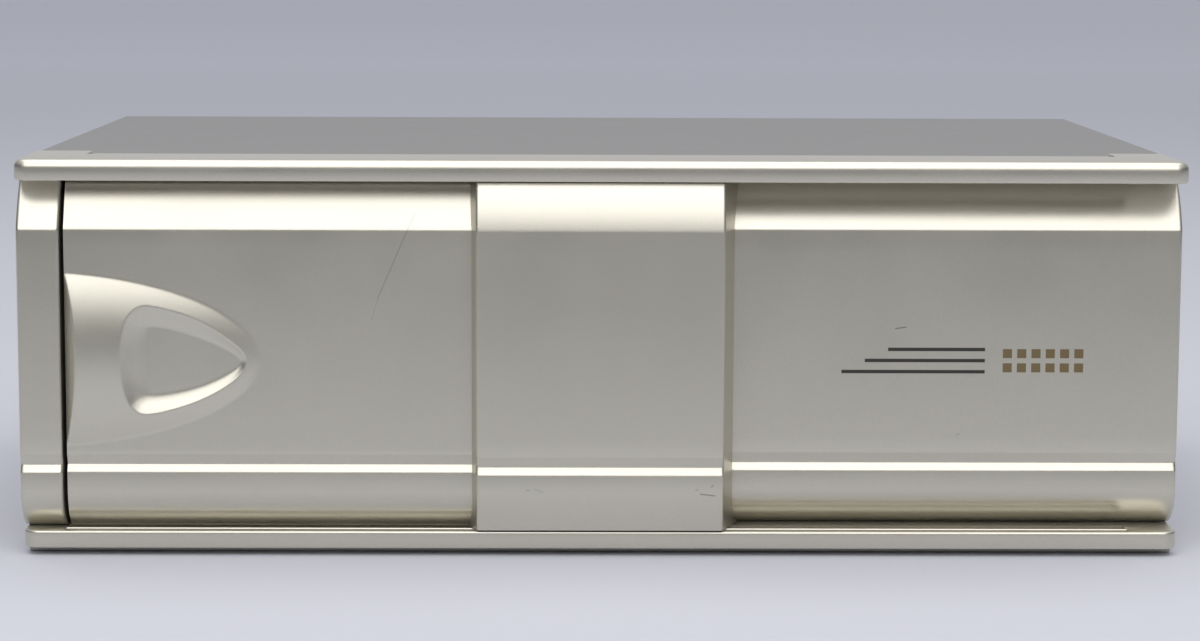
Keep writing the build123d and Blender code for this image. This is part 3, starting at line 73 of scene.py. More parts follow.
CAP = dict(face=FRONT + 0.7, recede=7.0, z_foot=17.0, lean=22.0, foot_lean=0.0)
INNER = dict(face=FRONT + 2.1, recede=5.1, z_foot=17.0, lean=22.0, foot_lean=0.0)
PANEL = dict(face=FRONT + 6.5, recede=8.0, z_foot=17.0, lean=22.0, foot_lean=0.0)
OUTER = dict(face=-95.0, recede=3.8, z_foot=16.2, lean=9.0, foot_lean=9.0, foot_recede=2.0)


# ---------------------------------------------------------------- mesh helpers
def make_object(name, verts, faces, smooth=40.0):
    """Mesh object from millimetre vertices, shaded smooth below an angle."""
    mesh = bpy.data.meshes.new(name)
    mesh.from_pydata([[c * MM for c in v] for v in verts], [], faces)
    mesh.validate()
    obj = bpy.data.objects.new(name, mesh)
    bpy.context.collection.objects.link(obj)
    if smooth:
        shade(obj, smooth)
    return obj


def shade(obj, angle):
    """Smooth shading with sharp edges above an angle, in degrees."""
    bm = bmesh.new()
    bm.from_mesh(obj.data)
    bmesh.ops.remove_doubles(bm, verts=bm.verts, dist=1e-7)
    bmesh.ops.recalc_face_normals(bm, faces=bm.faces)
    limit = math.radians(angle)
    for face in bm.faces:
        face.smooth = True
    for edge in bm.edges:
        if len(edge.link_faces) == 2:
            edge.smooth = edge.calc_face_angle(0.0) < limit
    bm.to_mesh(obj.data)
    bm.free()


def apply_modifiers(obj):
    """Applies the object's modifiers to its mesh."""
    graph = bpy.context.evaluated_depsgraph_get()
    mesh = bpy.data.meshes.new_from_object(obj.evaluated_get(graph))
    obj.modifiers.clear()
    old = obj.data
    obj.data = mesh
    bpy.data.meshes.remove(old)


def thicken(obj, thickness):
    """Gives an open sheet a wall on its inner side."""
    solid = obj.modifiers.new("wall", "SOLIDIFY")
    solid.thickness = thickness * MM
    solid.offset = -1
    solid.use_even_offset = True
    solid.thickness_clamp = 1.0
    apply_modifiers(obj)


def cut(obj, boxes):
    """Subtracts axis-aligned boxes, given as millimetre ranges."""
    for x0, x1, y0, y1, z0, z1 in boxes:
        corners = [(x, y, z) for x in (x0, x1) for y in (y0, y1) for z in (z0, z1)]
        faces = [(0, 1, 3, 2), (4, 6, 7, 5), (0, 4, 5, 1), (2, 3, 7, 6), (0, 2, 6, 4), (1, 5, 7, 3)]
        tool = make_object("cutter", corners, faces, smooth=0)
        cutter = obj.modifiers.new("cut", "BOOLEAN")
        cutter.object = tool
        cutter.solver = "EXACT"
        apply_modifiers(obj)
        bpy.data.objects.remove(tool)


def grid(rows, close=False):
    """Vertices and faces of a grid given as equal-length rows of points."""
    count = len(rows[0])
    verts = [point for row in rows for point in row]
    faces = []
    for i in range(len(rows) - 1):
        for j in range(count - (0 if close else 1)):
            k = (j + 1) % count
            faces.append((i * count + j, i * count + k, (i + 1) * count + k, (i + 1) * count + j))
    return verts, faces


# ---------------------------------------------------------------- profile of the bulged front
class Arc:
    """Arc from a face to one of its edges, leaving the face at a lean from vertical."""

    def __init__(self, face, z_face, recede, z_edge, lean):
        rise = abs(z_edge - z_face)
        self.side = 1 if z_edge > z_face else -1
        half_turn = math.atan2(recede, rise) - math.radians(lean)
        chord = math.hypot(recede, rise)
        self.radius = chord / (2 * math.sin(half_turn))
        reach = self.radius * math.cos(half_turn)
        self.y = face + recede / 2 + rise / chord * reach
        self.z = (z_face + z_edge) / 2 - self.side * recede / chord * reach

    def depth_at(self, z):
        return self.y - math.sqrt(max(0.0, self.radius ** 2 - (z - self.z) ** 2))


def depth(z, face, recede, z_foot, lean, foot_lean, foot_recede=None, groove=True):
    """Y of a front face at height z."""
    if z > CREASE:
        return Arc(face, CREASE, recede, TOP_EDGE, lean).depth_at(z)
    if z < z_foot:
        return Arc(face, z_foot, foot_recede or recede, FOOT_EDGE, foot_lean).depth_at(z)
    if groove:
        for (za, da), (zb, db) in zip(GROOVE, GROOVE[1:]):
            if zb <= z <= za:
                return face + da + (db - da) * (za - z) / (za - zb)
    return face


def heights(z_foot, fine=()):
    """Heights at which a front face is sampled, from bottom to top."""
    levels = [FOOT_EDGE + (z_foot - FOOT_EDGE) * (1 - math.cos(t / 14 * math.pi / 2)) for t in range(14)]
    edge = 0.28
    levels += [z_foot - 0.2, z_foot + 0.2]
    for z, _ in GROOVE:
        levels += [z - edge, z, z + edge]
    levels += [CREASE - edge, CREASE, CREASE + edge]
    levels += [CREASE + (TOP_EDGE - CREASE) * t / 14 for t in range(1, 15)]
    levels += list(fine) or [30 + 6 * t for t in range(9)]
    return sorted(set(round(z, 4) for z in levels))


def soft_depth(z, shape, groove=True, reach=0.28):
    """Depth with its creases rounded over a small height."""
    lo, hi = max(FOOT_EDGE, z - reach), min(TOP_EDGE, z + reach)
    samples = [lo + (hi - lo) * t / 6 for t in range(7)]
    return sum(depth(s, groove=groove, **shape) for s in samples) / 7


def rounded(corner, before, after, radius, steps=5):
    """Points of a rounded plan corner."""
    c, a, b = Vector(corner), Vector(before), Vector(after)
    da, db = (a - c).normalized(), (b - c).normalized()
    reach = min(radius, (a - c).length * 0.49, (b - c).length * 0.49)
    p, q = c + da * reach, c + db * reach
    return [tuple(p * (1 - t) ** 2 + c * 2 * t * (1 - t) + q * t ** 2) for t in [i / steps for i in range(steps + 1)]]


def front_shell(name, shape, plan, thickness, radius, groove=True, fine=()):
    """Moulded wall: for each height, plan(z, y) gives the plan line; its inner corners are rounded."""
    rows = []
    for z in heights(shape["z_foot"], fine):
        y = soft_depth(z, shape, groove)
        line = plan(z, y)
        points = [line[0]]
        for i in range(1, len(line) - 1):
            points += rounded(line[i], line[i - 1], line[i + 1], radius)
        points.append(line[-1])
        rows.append([(px, py, z) for px, py in points])
    verts, faces = grid(rows)
    obj = make_object(name, verts, faces, smooth=0)
    outward(obj)
    thicken(obj, thickness)
    shade(obj, 50)
    return obj


def outward(obj):
    """Turns an open sheet's faces to the front."""
    bm = bmesh.new()
    bm.from_mesh(obj.data)
    bmesh.ops.recalc_face_normals(bm, faces=bm.faces)
    total = sum(face.normal.y * face.calc_area() for face in bm.faces)
    if total > 0:
        bmesh.ops.reverse_faces(bm, faces=bm.faces)
    bm.to_mesh(obj.data)
    bm.free()


# ---------------------------------------------------------------- end cap, right panel
def cap_plan(z, y):
    return [(-CAP_SIDE, CORNER_Y - 0.3), (-CAP_SIDE, y), (CAP_RIGHT, y), (CAP_RIGHT, BAY_PLANE - 0.05)]


left_cap = front_shell("left_cap_shell", CAP, cap_plan, 1.3, 1.2)


def panel_plan(z, y):
    return [(PANEL_LEFT, BAY_PLANE - 0.05), (PANEL_LEFT, y), (CAP_SIDE, y), (CAP_SIDE, CORNER_Y - 0.3)]


right_face = front_shell("right_panel_shell", PANEL, panel_plan, 1.3, 1.2)


# ---------------------------------------------------------------- outer door
def outer_plan(z, y):
    left_y = depth(z, groove=True, **INNER) - 0.4
    right_y = depth(z, groove=True, **PANEL) - 0.4
    left_y = max(left_y, y + 0.6)
    return [
        (OUTER_LEFT - SIDE_LEAN * (left_y - y), left_y),
        (OUTER_LEFT, y),
        (OUTER_RIGHT, y),
        (OUTER_RIGHT + SIDE_LEAN * (right_y - y), right_y),
    ]


outer_shell = front_shell("outer_door_shell", OUTER, outer_plan, 1.3, 0.7)

# ---------------------------------------------------------------- inner door with grip pad and finger dish
PAD_HEIGHT = 44.5
PAD_LENGTH = 49.5
PAD_PROUD = 3.6
PAD_BOW = 0.63
PAD_FACET = 3.1
PAD_Z = 50.5
DISH_FLOOR = -0.4
# smooth closed lines through these points, from the door's left edge and the pad's middle
RIM = ((14.3, 0), (14.9, 7.0), (16.9, 11.9), (21.4, 13.9), (33.3, 10.6), (42.8, 4.5), (46.3, -0.4),
       (42.8, -5.6), (33.3, -10.9), (21.6, -14.1), (16.9, -12.2), (14.9, -7.0))
WELL = ((21.1, 0), (21.2, 6.6), (23.0, 8.3), (33.3, 5.8), (42.0, 2.1), (44.6, -0.4), (42.0, -3.2),
        (33.3, -7.0), (23.2, -8.8), (21.2, -7.2))
PAD_RADIUS = (PAD_HEIGHT / 2) ** 2 / (2 * PAD_PROUD) + PAD_PROUD / 2


def smooth_min(a, b, k):
    h = max(0.0, min(1.0, 0.5 + 0.5 * (b - a) / k))
    return b * (1 - h) + a * h - k * h * (1 - h)


def pad_height(u, v):
    """Height of the pad above the door's face, u from the left edge and v from its middle."""
    t = u / PAD_LENGTH
    crest = PAD_PROUD * (1 - t) + 4 * PAD_BOW * t * (1 - t)
    turn = PAD_RADIUS - PAD_PROUD + crest
    if abs(v) >= turn:
        return -9.0
    barrel = math.sqrt(turn ** 2 - v ** 2) - (PAD_RADIUS - PAD_PROUD)
    facet = PAD_PROUD * u / PAD_FACET
    return smooth_min(barrel, facet, 0.25)


def smooth_line(points, steps=6):
    """Closed smooth line through the points (Catmull-Rom)."""
    out = []
    for i in range(len(points)):
        p0, p1, p2, p3 = (Vector(points[(i + k) % len(points)]) for k in (-1, 0, 1, 2))
        for t in (k / steps for k in range(steps)):
            out.append(tuple(0.5 * (2 * p1 + (p2 - p0) * t + (2 * p0 - 5 * p1 + 4 * p2 - p3) * t ** 2
                                    + (3 * p1 - p0 - 3 * p2 + p3) * t ** 3)))
    return out


def signed_distance(line, u, v):
    """Distance to a closed line, negative inside."""
    nearest, inside = 1e9, False
    for (u1, v1), (u2, v2) in zip(line, line[1:] + line[:1]):
        du, dv = u2 - u1, v2 - v1
        t = max(0.0, min(1.0, ((u - u1) * du + (v - v1) * dv) / (du * du + dv * dv)))
        nearest = min(nearest, (u - u1 - du * t) ** 2 + (v - v1 - dv * t) ** 2)
        if (v1 > v) != (v2 > v) and u < u1 + (v - v1) / dv * du:
            inside = not inside
    return -math.sqrt(nearest) if inside else math.sqrt(nearest)


rim_line = smooth_line(RIM)
well_line = smooth_line(WELL)


def pad_surface(u, v):
    """Pad with its finger dish: between the dish's rim and its floor the wall falls evenly."""
    raised = -smooth_min(-pad_height(u, v), 0.0, 0.12)
    to_rim = -signed_distance(rim_line, u, v)
    if to_rim <= 0:
        return raised
    to_well = signed_distance(well_line, u, v)
    if to_well <= 0:
        return DISH_FLOOR
    share = 1 - (1 - to_rim / (to_rim + to_well)) ** 1.7
    return raised + (DISH_FLOOR - raised) * share


def inner_sheet():
    fine_x = [INNER_LEFT + 0.3 * t for t in range(int(PAD_LENGTH / 0.3) + 8)]
    coarse_x = [fine_x[-1] + (INNER_RIGHT - fine_x[-1]) * t / 8 for t in range(1, 9)]
    columns = fine_x + coarse_x
    fine_z = [PAD_Z - PAD_HEIGHT / 2 - 0.9 + 0.3 * t for t in range(int(PAD_HEIGHT / 0.3) + 7)]
    rows = []
    for z in heights(17.0, fine_z + [29, 80]):
        y = soft_depth(z, INNER)
        row = []
        for x in columns:
            u, v = x - INNER_LEFT, z - PAD_Z
            if u < PAD_LENGTH + 0.8 and abs(v) < PAD_HEIGHT / 2 + 0.8:
                row.append((x, y - pad_surface(u, v), z))
            else:
                row.append((x, y, z))
        rows.append(row)
    verts, faces = grid(rows)
    obj = make_object("inner_door_shell", verts, faces, smooth=0)
    outward(obj)
    return obj


inner_shell = inner_sheet()
thicken(inner_shell, 1.9)
shade(inner_shell, 60)


# ---------------------------------------------------------------- rails
def rail_outline(side, notched):
    """Plan outline of a rail as (x, y, normal x, normal y, weight of the edge rounding)."""
    r = 4.2
    out = []
    for sx in (-1, 1):
        angles = [i / 10 * math.pi / 2 for i in range(11)]
        if sx > 0:
            angles = angles[::-1]
        for a in angles:
            nx, ny = -sx * -1 * math.cos(a), -math.sin(a)
            cx, cy = sx * (side - r), FRONT + r
            out.append((cx + nx * r, cy + ny * r, nx, ny, 1.0))
    back = CORNER_Y if notched else BAY_PLANE
    tail = [(side, back, 1.0, 0.0, 1.0)]
    if notched:
        tail += [(CORNER_X, CORNER_Y, 0, 0, 0), (CORNER_X, SEAM_Y, 0, 0, 0),
                 (-CORNER_X, SEAM_Y, 0, 0, 0), (-CORNER_X, CORNER_Y, 0, 0, 0)]
    tail.append((-side, back, -1.0, 0.0, 1.0))
    return out + tail


def rail(name, side, steps, notched):
    """Rail: the plan outline stacked at (inset, height) steps, closed at both ends."""
    outline = rail_outline(side, notched)
    rows = [[(x - nx * w * inset, y - ny * w * inset, z) for x, y, nx, ny, w in outline] for inset, z in steps]
    verts, faces = grid(rows, close=True)
    count = len(outline)
    faces.append(tuple(range(count)))
    faces.append(tuple(range((len(rows) - 1) * count, len(rows) * count)))
    return make_object(name, verts, faces, smooth=35)


def rounding(radius, z_edge, direction, steps):
    return [(radius * (1 - math.cos(a)), z_edge - direction * radius * (1 - math.sin(a)))
            for a in [i / steps * math.pi / 2 for i in range(steps + 1)]]


lip_steps = [(0.5, LIP_BOTTOM), (0.15, LIP_BOTTOM + 0.15), (0.0, LIP_BOTTOM + 0.5)] + rounding(2.2, LIP_TOP, 1, 8)
upper_rail = rail("upper_rail_lip", HALF, lip_steps, True)
ledge_steps = [(0.6, 1.7), (0.18, 1.88), (0.0, 2.3)] + rounding(0.6, LEDGE, 1, 4)
lower_rail = rail("lower_rail_ledge", HALF - 1.0, ledge_steps, False)
TRACKS = ((FRONT + 1.4, FRONT + 4.2), (FRONT + 5.3, FRONT + 8.9))
SEAM_MARK = 1.6
cut(upper_rail, [(min(side * CORNER_X, side * (CORNER_X - SEAM_MARK)), max(side * CORNER_X, side * (CORNER_X - SEAM_MARK)),
                  SEAM_Y - 1.5, SEAM_Y + 0.2, LIP_TOP - 2.0, LIP_TOP + 1.0) for side in (-1, 1)])


def soften(obj, z, lines, size):
    """Rounds the long edges along X that lie at height z and at the given depths."""
    bm = bmesh.new()
    bm.from_mesh(obj.data)
    edges = []
    for edge in bm.edges:
        a, b = (vert.co / MM for vert in edge.verts)
        if abs(a.z - z) + abs(b.z - z) < 0.01 and abs(a.y - b.y) < 0.01 and abs(a.x - b.x) > 5:
            if min(abs(a.y - y) for y in lines) < 0.01:
                edges.append(edge)
    bmesh.ops.bevel(bm, geom=edges, offset=size * MM, segments=2, affect="EDGES", profile=0.5)
    bm.to_mesh(obj.data)
    bm.free()


for rail_obj, z0, z1 in ((lower_rail, LEDGE - 2.3, LEDGE + 1), (upper_rail, LIP_BOTTOM - 1, LIP_BOTTOM + 2.3)):
    cut(rail_obj, [(INNER_LEFT - 0.8, TRACK_RIGHT, y0, y1, z0, z1) for y0, y1 in TRACKS])
    shade(rail_obj, 35)
soften(lower_rail, LEDGE, [y for track in TRACKS for y in track], 0.3)
shade(lower_rail, 35)

# ---------------------------------------------------------------- round pieces, screws, springs
def joined(name, parts, smooth=40.0):
    """One mesh object from several lists of vertices and faces."""
    verts, faces = [], []
    for points, polygons in parts:
        faces += [tuple(i + len(verts) for i in polygon) for polygon in polygons]
        verts += points
    return make_object(name, verts, faces, smooth)


def closed(rows):
    """Grid closed round, with both ends capped."""
    verts, faces = grid([[tuple(point) for point in row] for row in rows], close=True)
    count = len(rows[0])
    return verts, faces + [tuple(range(count)), tuple(range(len(verts) - count, len(verts)))]


def turned(centre, direction, profile, segments=48):
    """Body of revolution through (radius, distance along the direction) points."""
    axis, start = Vector(direction), Vector(centre)
    side = Vector((1, 0, 0)) if abs(axis.z) > 0.5 else Vector((0, 0, 1))
    across = axis.cross(side)
    spokes = [side * math.cos(a) + across * math.sin(a) for a in [2 * math.pi * i / segments for i in range(segments)]]
    return closed([[start + axis * along + spoke * radius for spoke in spokes] for radius, along in profile])


def tube(path, radius, sides=8):
    """Round wire along a path."""
    rows, normal = [], Vector((1, 0, 0))
    for i, point in enumerate(path):
        tangent = (path[min(i + 1, len(path) - 1)] - path[max(i - 1, 0)]).normalized()
        normal = (normal - tangent * normal.dot(tangent)).normalized()
        side = tangent.cross(normal)
        rows.append([point + (normal * math.cos(a) + side * math.sin(a)) * radius
                     for a in [2 * math.pi * k / sides for k in range(sides)]])
    return closed(rows)


def box(x0, x1, y0, y1, z0, z1):
    return closed([[(x0, y0, z), (x1, y0, z), (x1, y1, z), (x0, y1, z)] for z in (z0, z1)])


def screws(name, spots, shanks=()):
    """Pan-head screws with a cross recess: each spot is a centre and a direction."""
    obj = joined(name, [turned(centre, direction, SCREW_HEAD, 24) for centre, direction in spots]
                 + [turned(centre, direction, [(1.5, 0), (1.5, length)], 16) for centre, direction, length in shanks])
    boxes = []
    for centre, direction in spots:
        axis = [abs(c) for c in direction].index(1)
        for long_axis in [k for k in range(3) if k != axis]:
            half = [0.35] * 3
            half[long_axis] = 1.8
            low = [c - h for c, h in zip(centre, half)]
            high = [c + h for c, h in zip(centre, half)]
            ends = sorted((centre[axis] + direction[axis] * 0.4, centre[axis] + direction[axis] * 2.0))
            low[axis], high[axis] = ends
            boxes.append((low[0], high[0], low[1], high[1], low[2], high[2]))
    cut(obj, boxes)
    shade(obj, 35)
    return obj


SCREW_HEAD = [(3.0, 0), (3.0, 0.3), (2.6, 0.66), (1.9, 0.83), (0.9, 0.9)]
SIDES = (-1, 1)
COVER_SIDE = 149.0
cover_heads = screws("cover_screw_heads", [((side * COVER_SIDE, y, 6.0), (side, 0, 0)) for side in SIDES for y in (84.0, -49.8)])
lock_heads = screws("transport_screw_heads", [((side * COVER_SIDE, -10.0, 50.0), (side, 0, 0)) for side in SIDES],
                    [((side * 141.0, -10.0, 50.0), (side, 0, 0), 7.2) for side in SIDES])

DIAL = [(9.3, 146.7), (9.5, 146.9), (9.5, 147.7), (9.3, 147.9), (7.95, 147.9), (7.95, 148.45), (7.7, 148.7)]
dials = []
for side in SIDES:
    dial = joined("dial_left" if side < 0 else "dial_right", [turned((0, 40.0, 58.0), (side, 0, 0), DIAL, 64)])
    ends = sorted((side * 147.9, side * 149.0))
    cut(dial, [(ends[0], ends[1], 32.4, 47.6, 57.2, 58.8)])
    shade(dial, 35)
    dials.append(dial)

DAMPER = [(10, 0), (10, 1.2), (8.8, 1.9), (8.8, 2.6), (10, 3.3), (10, 3.9), (8.8, 4.6), (8.8, 5.3), (10, 6.0), (10, 7.2)]
dampers = joined("damper_rings", [turned((side * 141.0, y, 28.0), (side, 0, 0), DAMPER) for side in SIDES for y in (-25.0, 76.0)])

SPRING_LOW, SPRING_HIGH, COIL_TURNS = 21.5, 48.2, 16
coils = []
for side in SIDES:
    path = [Vector((side * 143.8, 40.0, SPRING_LOW))]
    for step in range(COIL_TURNS * 14 + 1):
        share = step / (COIL_TURNS * 14)
        reach = 1.75 * min(1.0, share * 20, (1 - share) * 20)
        angle = 2 * math.pi * COIL_TURNS * share
        path.append(Vector((side * 143.8 + reach * math.cos(angle), 40.0 + reach * math.sin(angle),
                            SPRING_LOW + 2.4 + (SPRING_HIGH - SPRING_LOW - 4.8) * share)))
    path.append(Vector((side * 143.8, 40.0, SPRING_HIGH)))
    coils.append(tube(path, 0.45))
springs = joined("spring_coils", coils, 60)

LIFT_X, ROD_Y = 108.0, 76.0
THREAD_LOW, THREAD_HIGH, THREAD_PITCH, THREAD_STARTS = 3.9, 93.7, 2.8, 4
rows = []
for step in range(int((THREAD_HIGH - THREAD_LOW) / THREAD_PITCH * 6) + 1):
    z = THREAD_LOW + step * THREAD_PITCH / 6
    ring = []
    for a in [2 * math.pi * k / 48 for k in range(48)]:
        wave = abs(2 * ((z / THREAD_PITCH + THREAD_STARTS * a / (2 * math.pi)) % 1.0) - 1)
        radius = 3.0 - 0.45 * min(1.0, max(0.0, 1.6 * wave - 0.3))
        ring.append((LIFT_X + radius * math.cos(a), ROD_Y + radius * math.sin(a), z))
    rows.append(ring)
thread = joined("lift_thread", [closed(rows), turned((LIFT_X, ROD_Y, 0), (0, 0, 1), [(1.5, 2.6), (1.5, THREAD_LOW + 0.2)], 24),
                                turned((LIFT_X, ROD_Y, 0), (0, 0, 1), [(1.5, THREAD_HIGH - 0.2), (1.5, 95.0)], 24)], 60)

SPINDLE = (67.0, -8.0, 0.0)
UP = (0, 0, 1)
platter = joined("turntable_platter", [turned(SPINDLE, UP, [
    (1.2, 11.1), (1.2, 16.6), (14.6, 16.6), (15.0, 17.0), (15.0, 19.0), (14.6, 19.4), (13.2, 19.4), (13.0, 19.2), (9.0, 19.2),
    (8.8, 19.4), (7.4, 19.4), (7.4, 20.4), (6.4, 21.4)], 64)])
puck = joined("clamp_disc", [turned(SPINDLE, UP, [
    (8.4, 25.8), (8.4, 24.0), (12.6, 24.0), (13.0, 24.4), (13.0, 26.2), (12.6, 26.6), (2.5, 26.6), (2.5, 29.0), (3.9, 29.0),
    (4.1, 29.2), (4.1, 30.0), (3.9, 30.2)], 64)])
spindle_can = joined("spindle_can", [turned(SPINDLE, UP, [(11.4, 4.6), (12.0, 5.2), (12.0, 10.6), (11.6, 11.0)], 64)])
loading_can = joined("loading_can", [turned((5.592, 65.192, 0), UP, [(4.6, 5.0), (5.0, 5.4), (5.0, 11.0)])])
LIFT_MOTOR = (89.961, 82.574)
lift_can = joined("lift_can", [
    turned((*LIFT_MOTOR, 0), UP, [(9.2, 8.7), (9.88, 9.3), (9.88, 31.2), (9.5, 32.0), (8.2, 32.7), (3.0, 32.7)]),
    *[box(LIFT_MOTOR[0] + dx - 1.3, LIFT_MOTOR[0] + dx + 1.3, 88.008, 90.608, 3.6, 8.9) for dx in (-3.952, 3.952)]])

# ---------------------------------------------------------------- camera and light
scene = bpy.context.scene
camera = bpy.data.objects.new("camera", bpy.data.cameras.new("camera"))
bpy.context.collection.objects.link(camera)
scene.camera = camera
camera.data.sensor_width = 36.0
camera.data.lens = 3030.0 / 1200 * 36.0
YAW, PITCH, ROLL = -0.0113, 0.1252, 0.0038
forward = Vector((-math.sin(YAW) * math.cos(PITCH), math.cos(YAW) * math.cos(PITCH), -math.sin(PITCH)))
level = Vector((math.cos(YAW), math.sin(YAW), 0))
upward = level.cross(forward)
right = level * math.cos(ROLL) + upward * math.sin(ROLL)
upward = upward * math.cos(ROLL) - level * math.sin(ROLL)
turn = Matrix((right, upward, -forward)).transposed().to_4x4()
camera.matrix_world = Matrix.Translation(Vector((-9.26, -861.1, 157.85)) * MM) @ turn
camera.data.clip_start = 0.01
camera.data.clip_end = 50

world = bpy.data.worlds.new("studio")
scene.world = world
world.use_nodes = True
nodes, links = world.node_tree.nodes, world.node_tree.links
background = nodes["Background"]
background.inputs["Strength"].default_value = 0.85


def linked(kind, tree, **inputs):
    """New node with its inputs set or linked, by name or by place."""
    node = tree.nodes.new(kind)
    for key, value in inputs.items():
        socket = node.inputs[int(key[1:])] if key[0] == "i" and key[1:].isdigit() else node.inputs[key.replace("_", " ")]
        if isinstance(value, bpy.types.NodeSocket):
            tree.links.new(value, socket)
        else:
            socket.default_value = value
    return node


# pale all round, dark low at the two sides and in front
direction = nodes.new("ShaderNodeTexCoord").outputs["Generated"]
parts = linked("ShaderNodeSeparateXYZ", world.node_tree, i0=direction)
sideways = nodes.new("ShaderNodeMath")
sideways.operation = "ABSOLUTE"
links.new(parts.outputs["X"], sideways.inputs[0])
to_side = linked("ShaderNodeMapRange", world.node_tree, Value=sideways.outputs[0], From_Min=0.45, From_Max=0.85)
from_top = linked("ShaderNodeMapRange", world.node_tree, Value=parts.outputs["Z"], From_Min=0.25, From_Max=0.7,
                  To_Min=1.0, To_Max=0.0)
to_front = linked("ShaderNodeMapRange", world.node_tree, Value=parts.outputs["Y"], From_Min=-0.35, From_Max=-0.85,
                  To_Max=1.0)
low = linked("ShaderNodeMapRange", world.node_tree, Value=parts.outputs["Z"], From_Min=0.2, From_Max=0.5,
             To_Min=1.0, To_Max=0.0)
both = nodes.new("ShaderNodeMath")
both.operation = "MAXIMUM"
for number, (share, part) in enumerate(((to_side, from_top), (to_front, low))):
    product = linked("ShaderNodeMath", world.node_tree, i0=share.outputs["Result"], i1=part.outputs["Result"])
    product.operation = "MULTIPLY"
    links.new(product.outputs[0], both.inputs[number])
blend = nodes.new("ShaderNodeMix")
blend.data_type = "RGBA"
links.new(both.outputs[0], blend.inputs["Factor"])
blend.inputs[6].default_value = (0.62, 0.63, 0.67, 1)
blend.inputs[7].default_value = (0.07, 0.07, 0.07, 1)
links.new(blend.outputs[2], background.inputs["Color"])


def soft_light(name, location, target, size, power):
    lamp = bpy.data.lights.new(name, "AREA")
    lamp.shape = "RECTANGLE"
    lamp.size, lamp.size_y = size
    lamp.energy = power
    obj = bpy.data.objects.new(name, lamp)
    bpy.context.collection.objects.link(obj)
    obj.location = location
    obj.rotation_mode = "QUATERNION"
    obj.rotation_quaternion = (Vector(target) - Vector(location)).to_track_quat("-Z", "Y")


soft_light("overhead", (0.0, 0.1, 1.3), (0, 0, 0), (1.8, 1.1), 10)
soft_light("front_top", (0.0, -1.2, 1.12), (0, 0, 0.08), (2.6, 1.5), 20.5)

FLOOR_REACH = 40000
floor = make_object("floor", [(x, y, -0.2) for x, y in ((-FLOOR_REACH, -FLOOR_REACH), (FLOOR_REACH, -FLOOR_REACH),
                                                      (FLOOR_REACH, FLOOR_REACH), (-FLOOR_REACH, FLOOR_REACH))],
                    [(0, 1, 2, 3)], smooth=0)


# ---------------------------------------------------------------- materials
def srgb(r, g, b):
    return tuple((c / 255 / 12.92) if c <= 10 else ((c / 255 + 0.055) / 1.055) ** 2.4 for c in (r, g, b)) + (1,)


def material(name, colour, rough, metal=0.0, grain=0.0, grain_scale=900, mottle=0.06, mottle_scale=40, bump=0.0,
             bump_scale=400, coat=0.0):
    """Procedural finish: base colour with soft mottling and fine grain, uneven gloss and a light bump."""
    mat = bpy.data.materials.new(name)
    mat.use_nodes = True
    tree = mat.node_tree
    nodes, links = tree.nodes, tree.links
    shader = nodes["Principled BSDF"]
    shader.inputs["Metallic"].default_value = metal
    shader.inputs["Coat Weight"].default_value = coat
    place = nodes.new("ShaderNodeTexCoord").outputs["Object"]
    cloud = nodes.new("ShaderNodeTexNoise")
    cloud.inputs["Scale"].default_value = mottle_scale
    cloud.inputs["Detail"].default_value = 3
    links.new(place, cloud.inputs["Vector"])
    fine = nodes.new("ShaderNodeTexNoise")
    fine.inputs["Scale"].default_value = grain_scale
    fine.inputs["Detail"].default_value = 2
    links.new(place, fine.inputs["Vector"])
    value = nodes.new("ShaderNodeMath")
    value.operation = "MULTIPLY_ADD"
    links.new(cloud.outputs["Fac"], value.inputs[0])
    value.inputs[1].default_value = mottle
    value.inputs[2].default_value = 1 - mottle / 2 - grain / 2
    second = nodes.new("ShaderNodeMath")
    second.operation = "MULTIPLY_ADD"
    links.new(fine.outputs["Fac"], second.inputs[0])
    second.inputs[1].default_value = grain
    links.new(value.outputs[0], second.inputs[2])
    tint = nodes.new("ShaderNodeVectorMath")
    tint.operation = "SCALE"
    tint.inputs[0].default_value = colour[:3]
    links.new(second.outputs[0], tint.inputs["Scale"])
    links.new(tint.outputs["Vector"], shader.inputs["Base Color"])
    gloss = nodes.new("ShaderNodeMapRange")
    gloss.inputs["To Min"].default_value = max(0.02, rough - 0.05)
    gloss.inputs["To Max"].default_value = rough + 0.05
    links.new(cloud.outputs["Fac"], gloss.inputs["Value"])
    links.new(gloss.outputs["Result"], shader.inputs["Roughness"])
    if bump > 0:
        relief = nodes.new("ShaderNodeTexNoise")
        relief.inputs["Scale"].default_value = bump_scale
        relief.inputs["Detail"].default_value = 2
        links.new(place, relief.inputs["Vector"])
        bumps = nodes.new("ShaderNodeBump")
        bumps.inputs["Strength"].default_value = bump
        bumps.inputs["Distance"].default_value = 0.0002
        links.new(relief.outputs["Fac"], bumps.inputs["Height"])
        links.new(bumps.outputs["Normal"], shader.inputs["Normal"])
    return mat


silver = material("silver_paint", srgb(207, 203, 190), 0.33, metal=0.88, grain=0.12, grain_scale=2600, mottle=0.03,
                  bump=0.05, bump_scale=2400)
cover_paint = material("cover_paint", srgb(140, 139, 137), 0.45, metal=0.6, grain=0.08, grain_scale=2600, mottle=0.04)
steel = material("zinc_sheet", srgb(180, 180, 176), 0.38, metal=0.9, mottle=0.25, mottle_scale=90)
black = material("black_plastic", srgb(34, 34, 35), 0.5, grain=0.2, bump=0.35, bump_scale=1800)
grey = material("grey_plastic", srgb(88, 88, 90), 0.48, grain=0.1, bump=0.2, bump_scale=1800)
white = material("white_plastic", srgb(214, 211, 200), 0.4, mottle=0.05)
rubber = material("rubber", srgb(28, 28, 28), 0.8, grain=0.2, bump=0.3, bump_scale=1200)
zinc = material("screw_steel", srgb(150, 148, 140), 0.35, metal=0.95, mottle=0.2, mottle_scale=300)
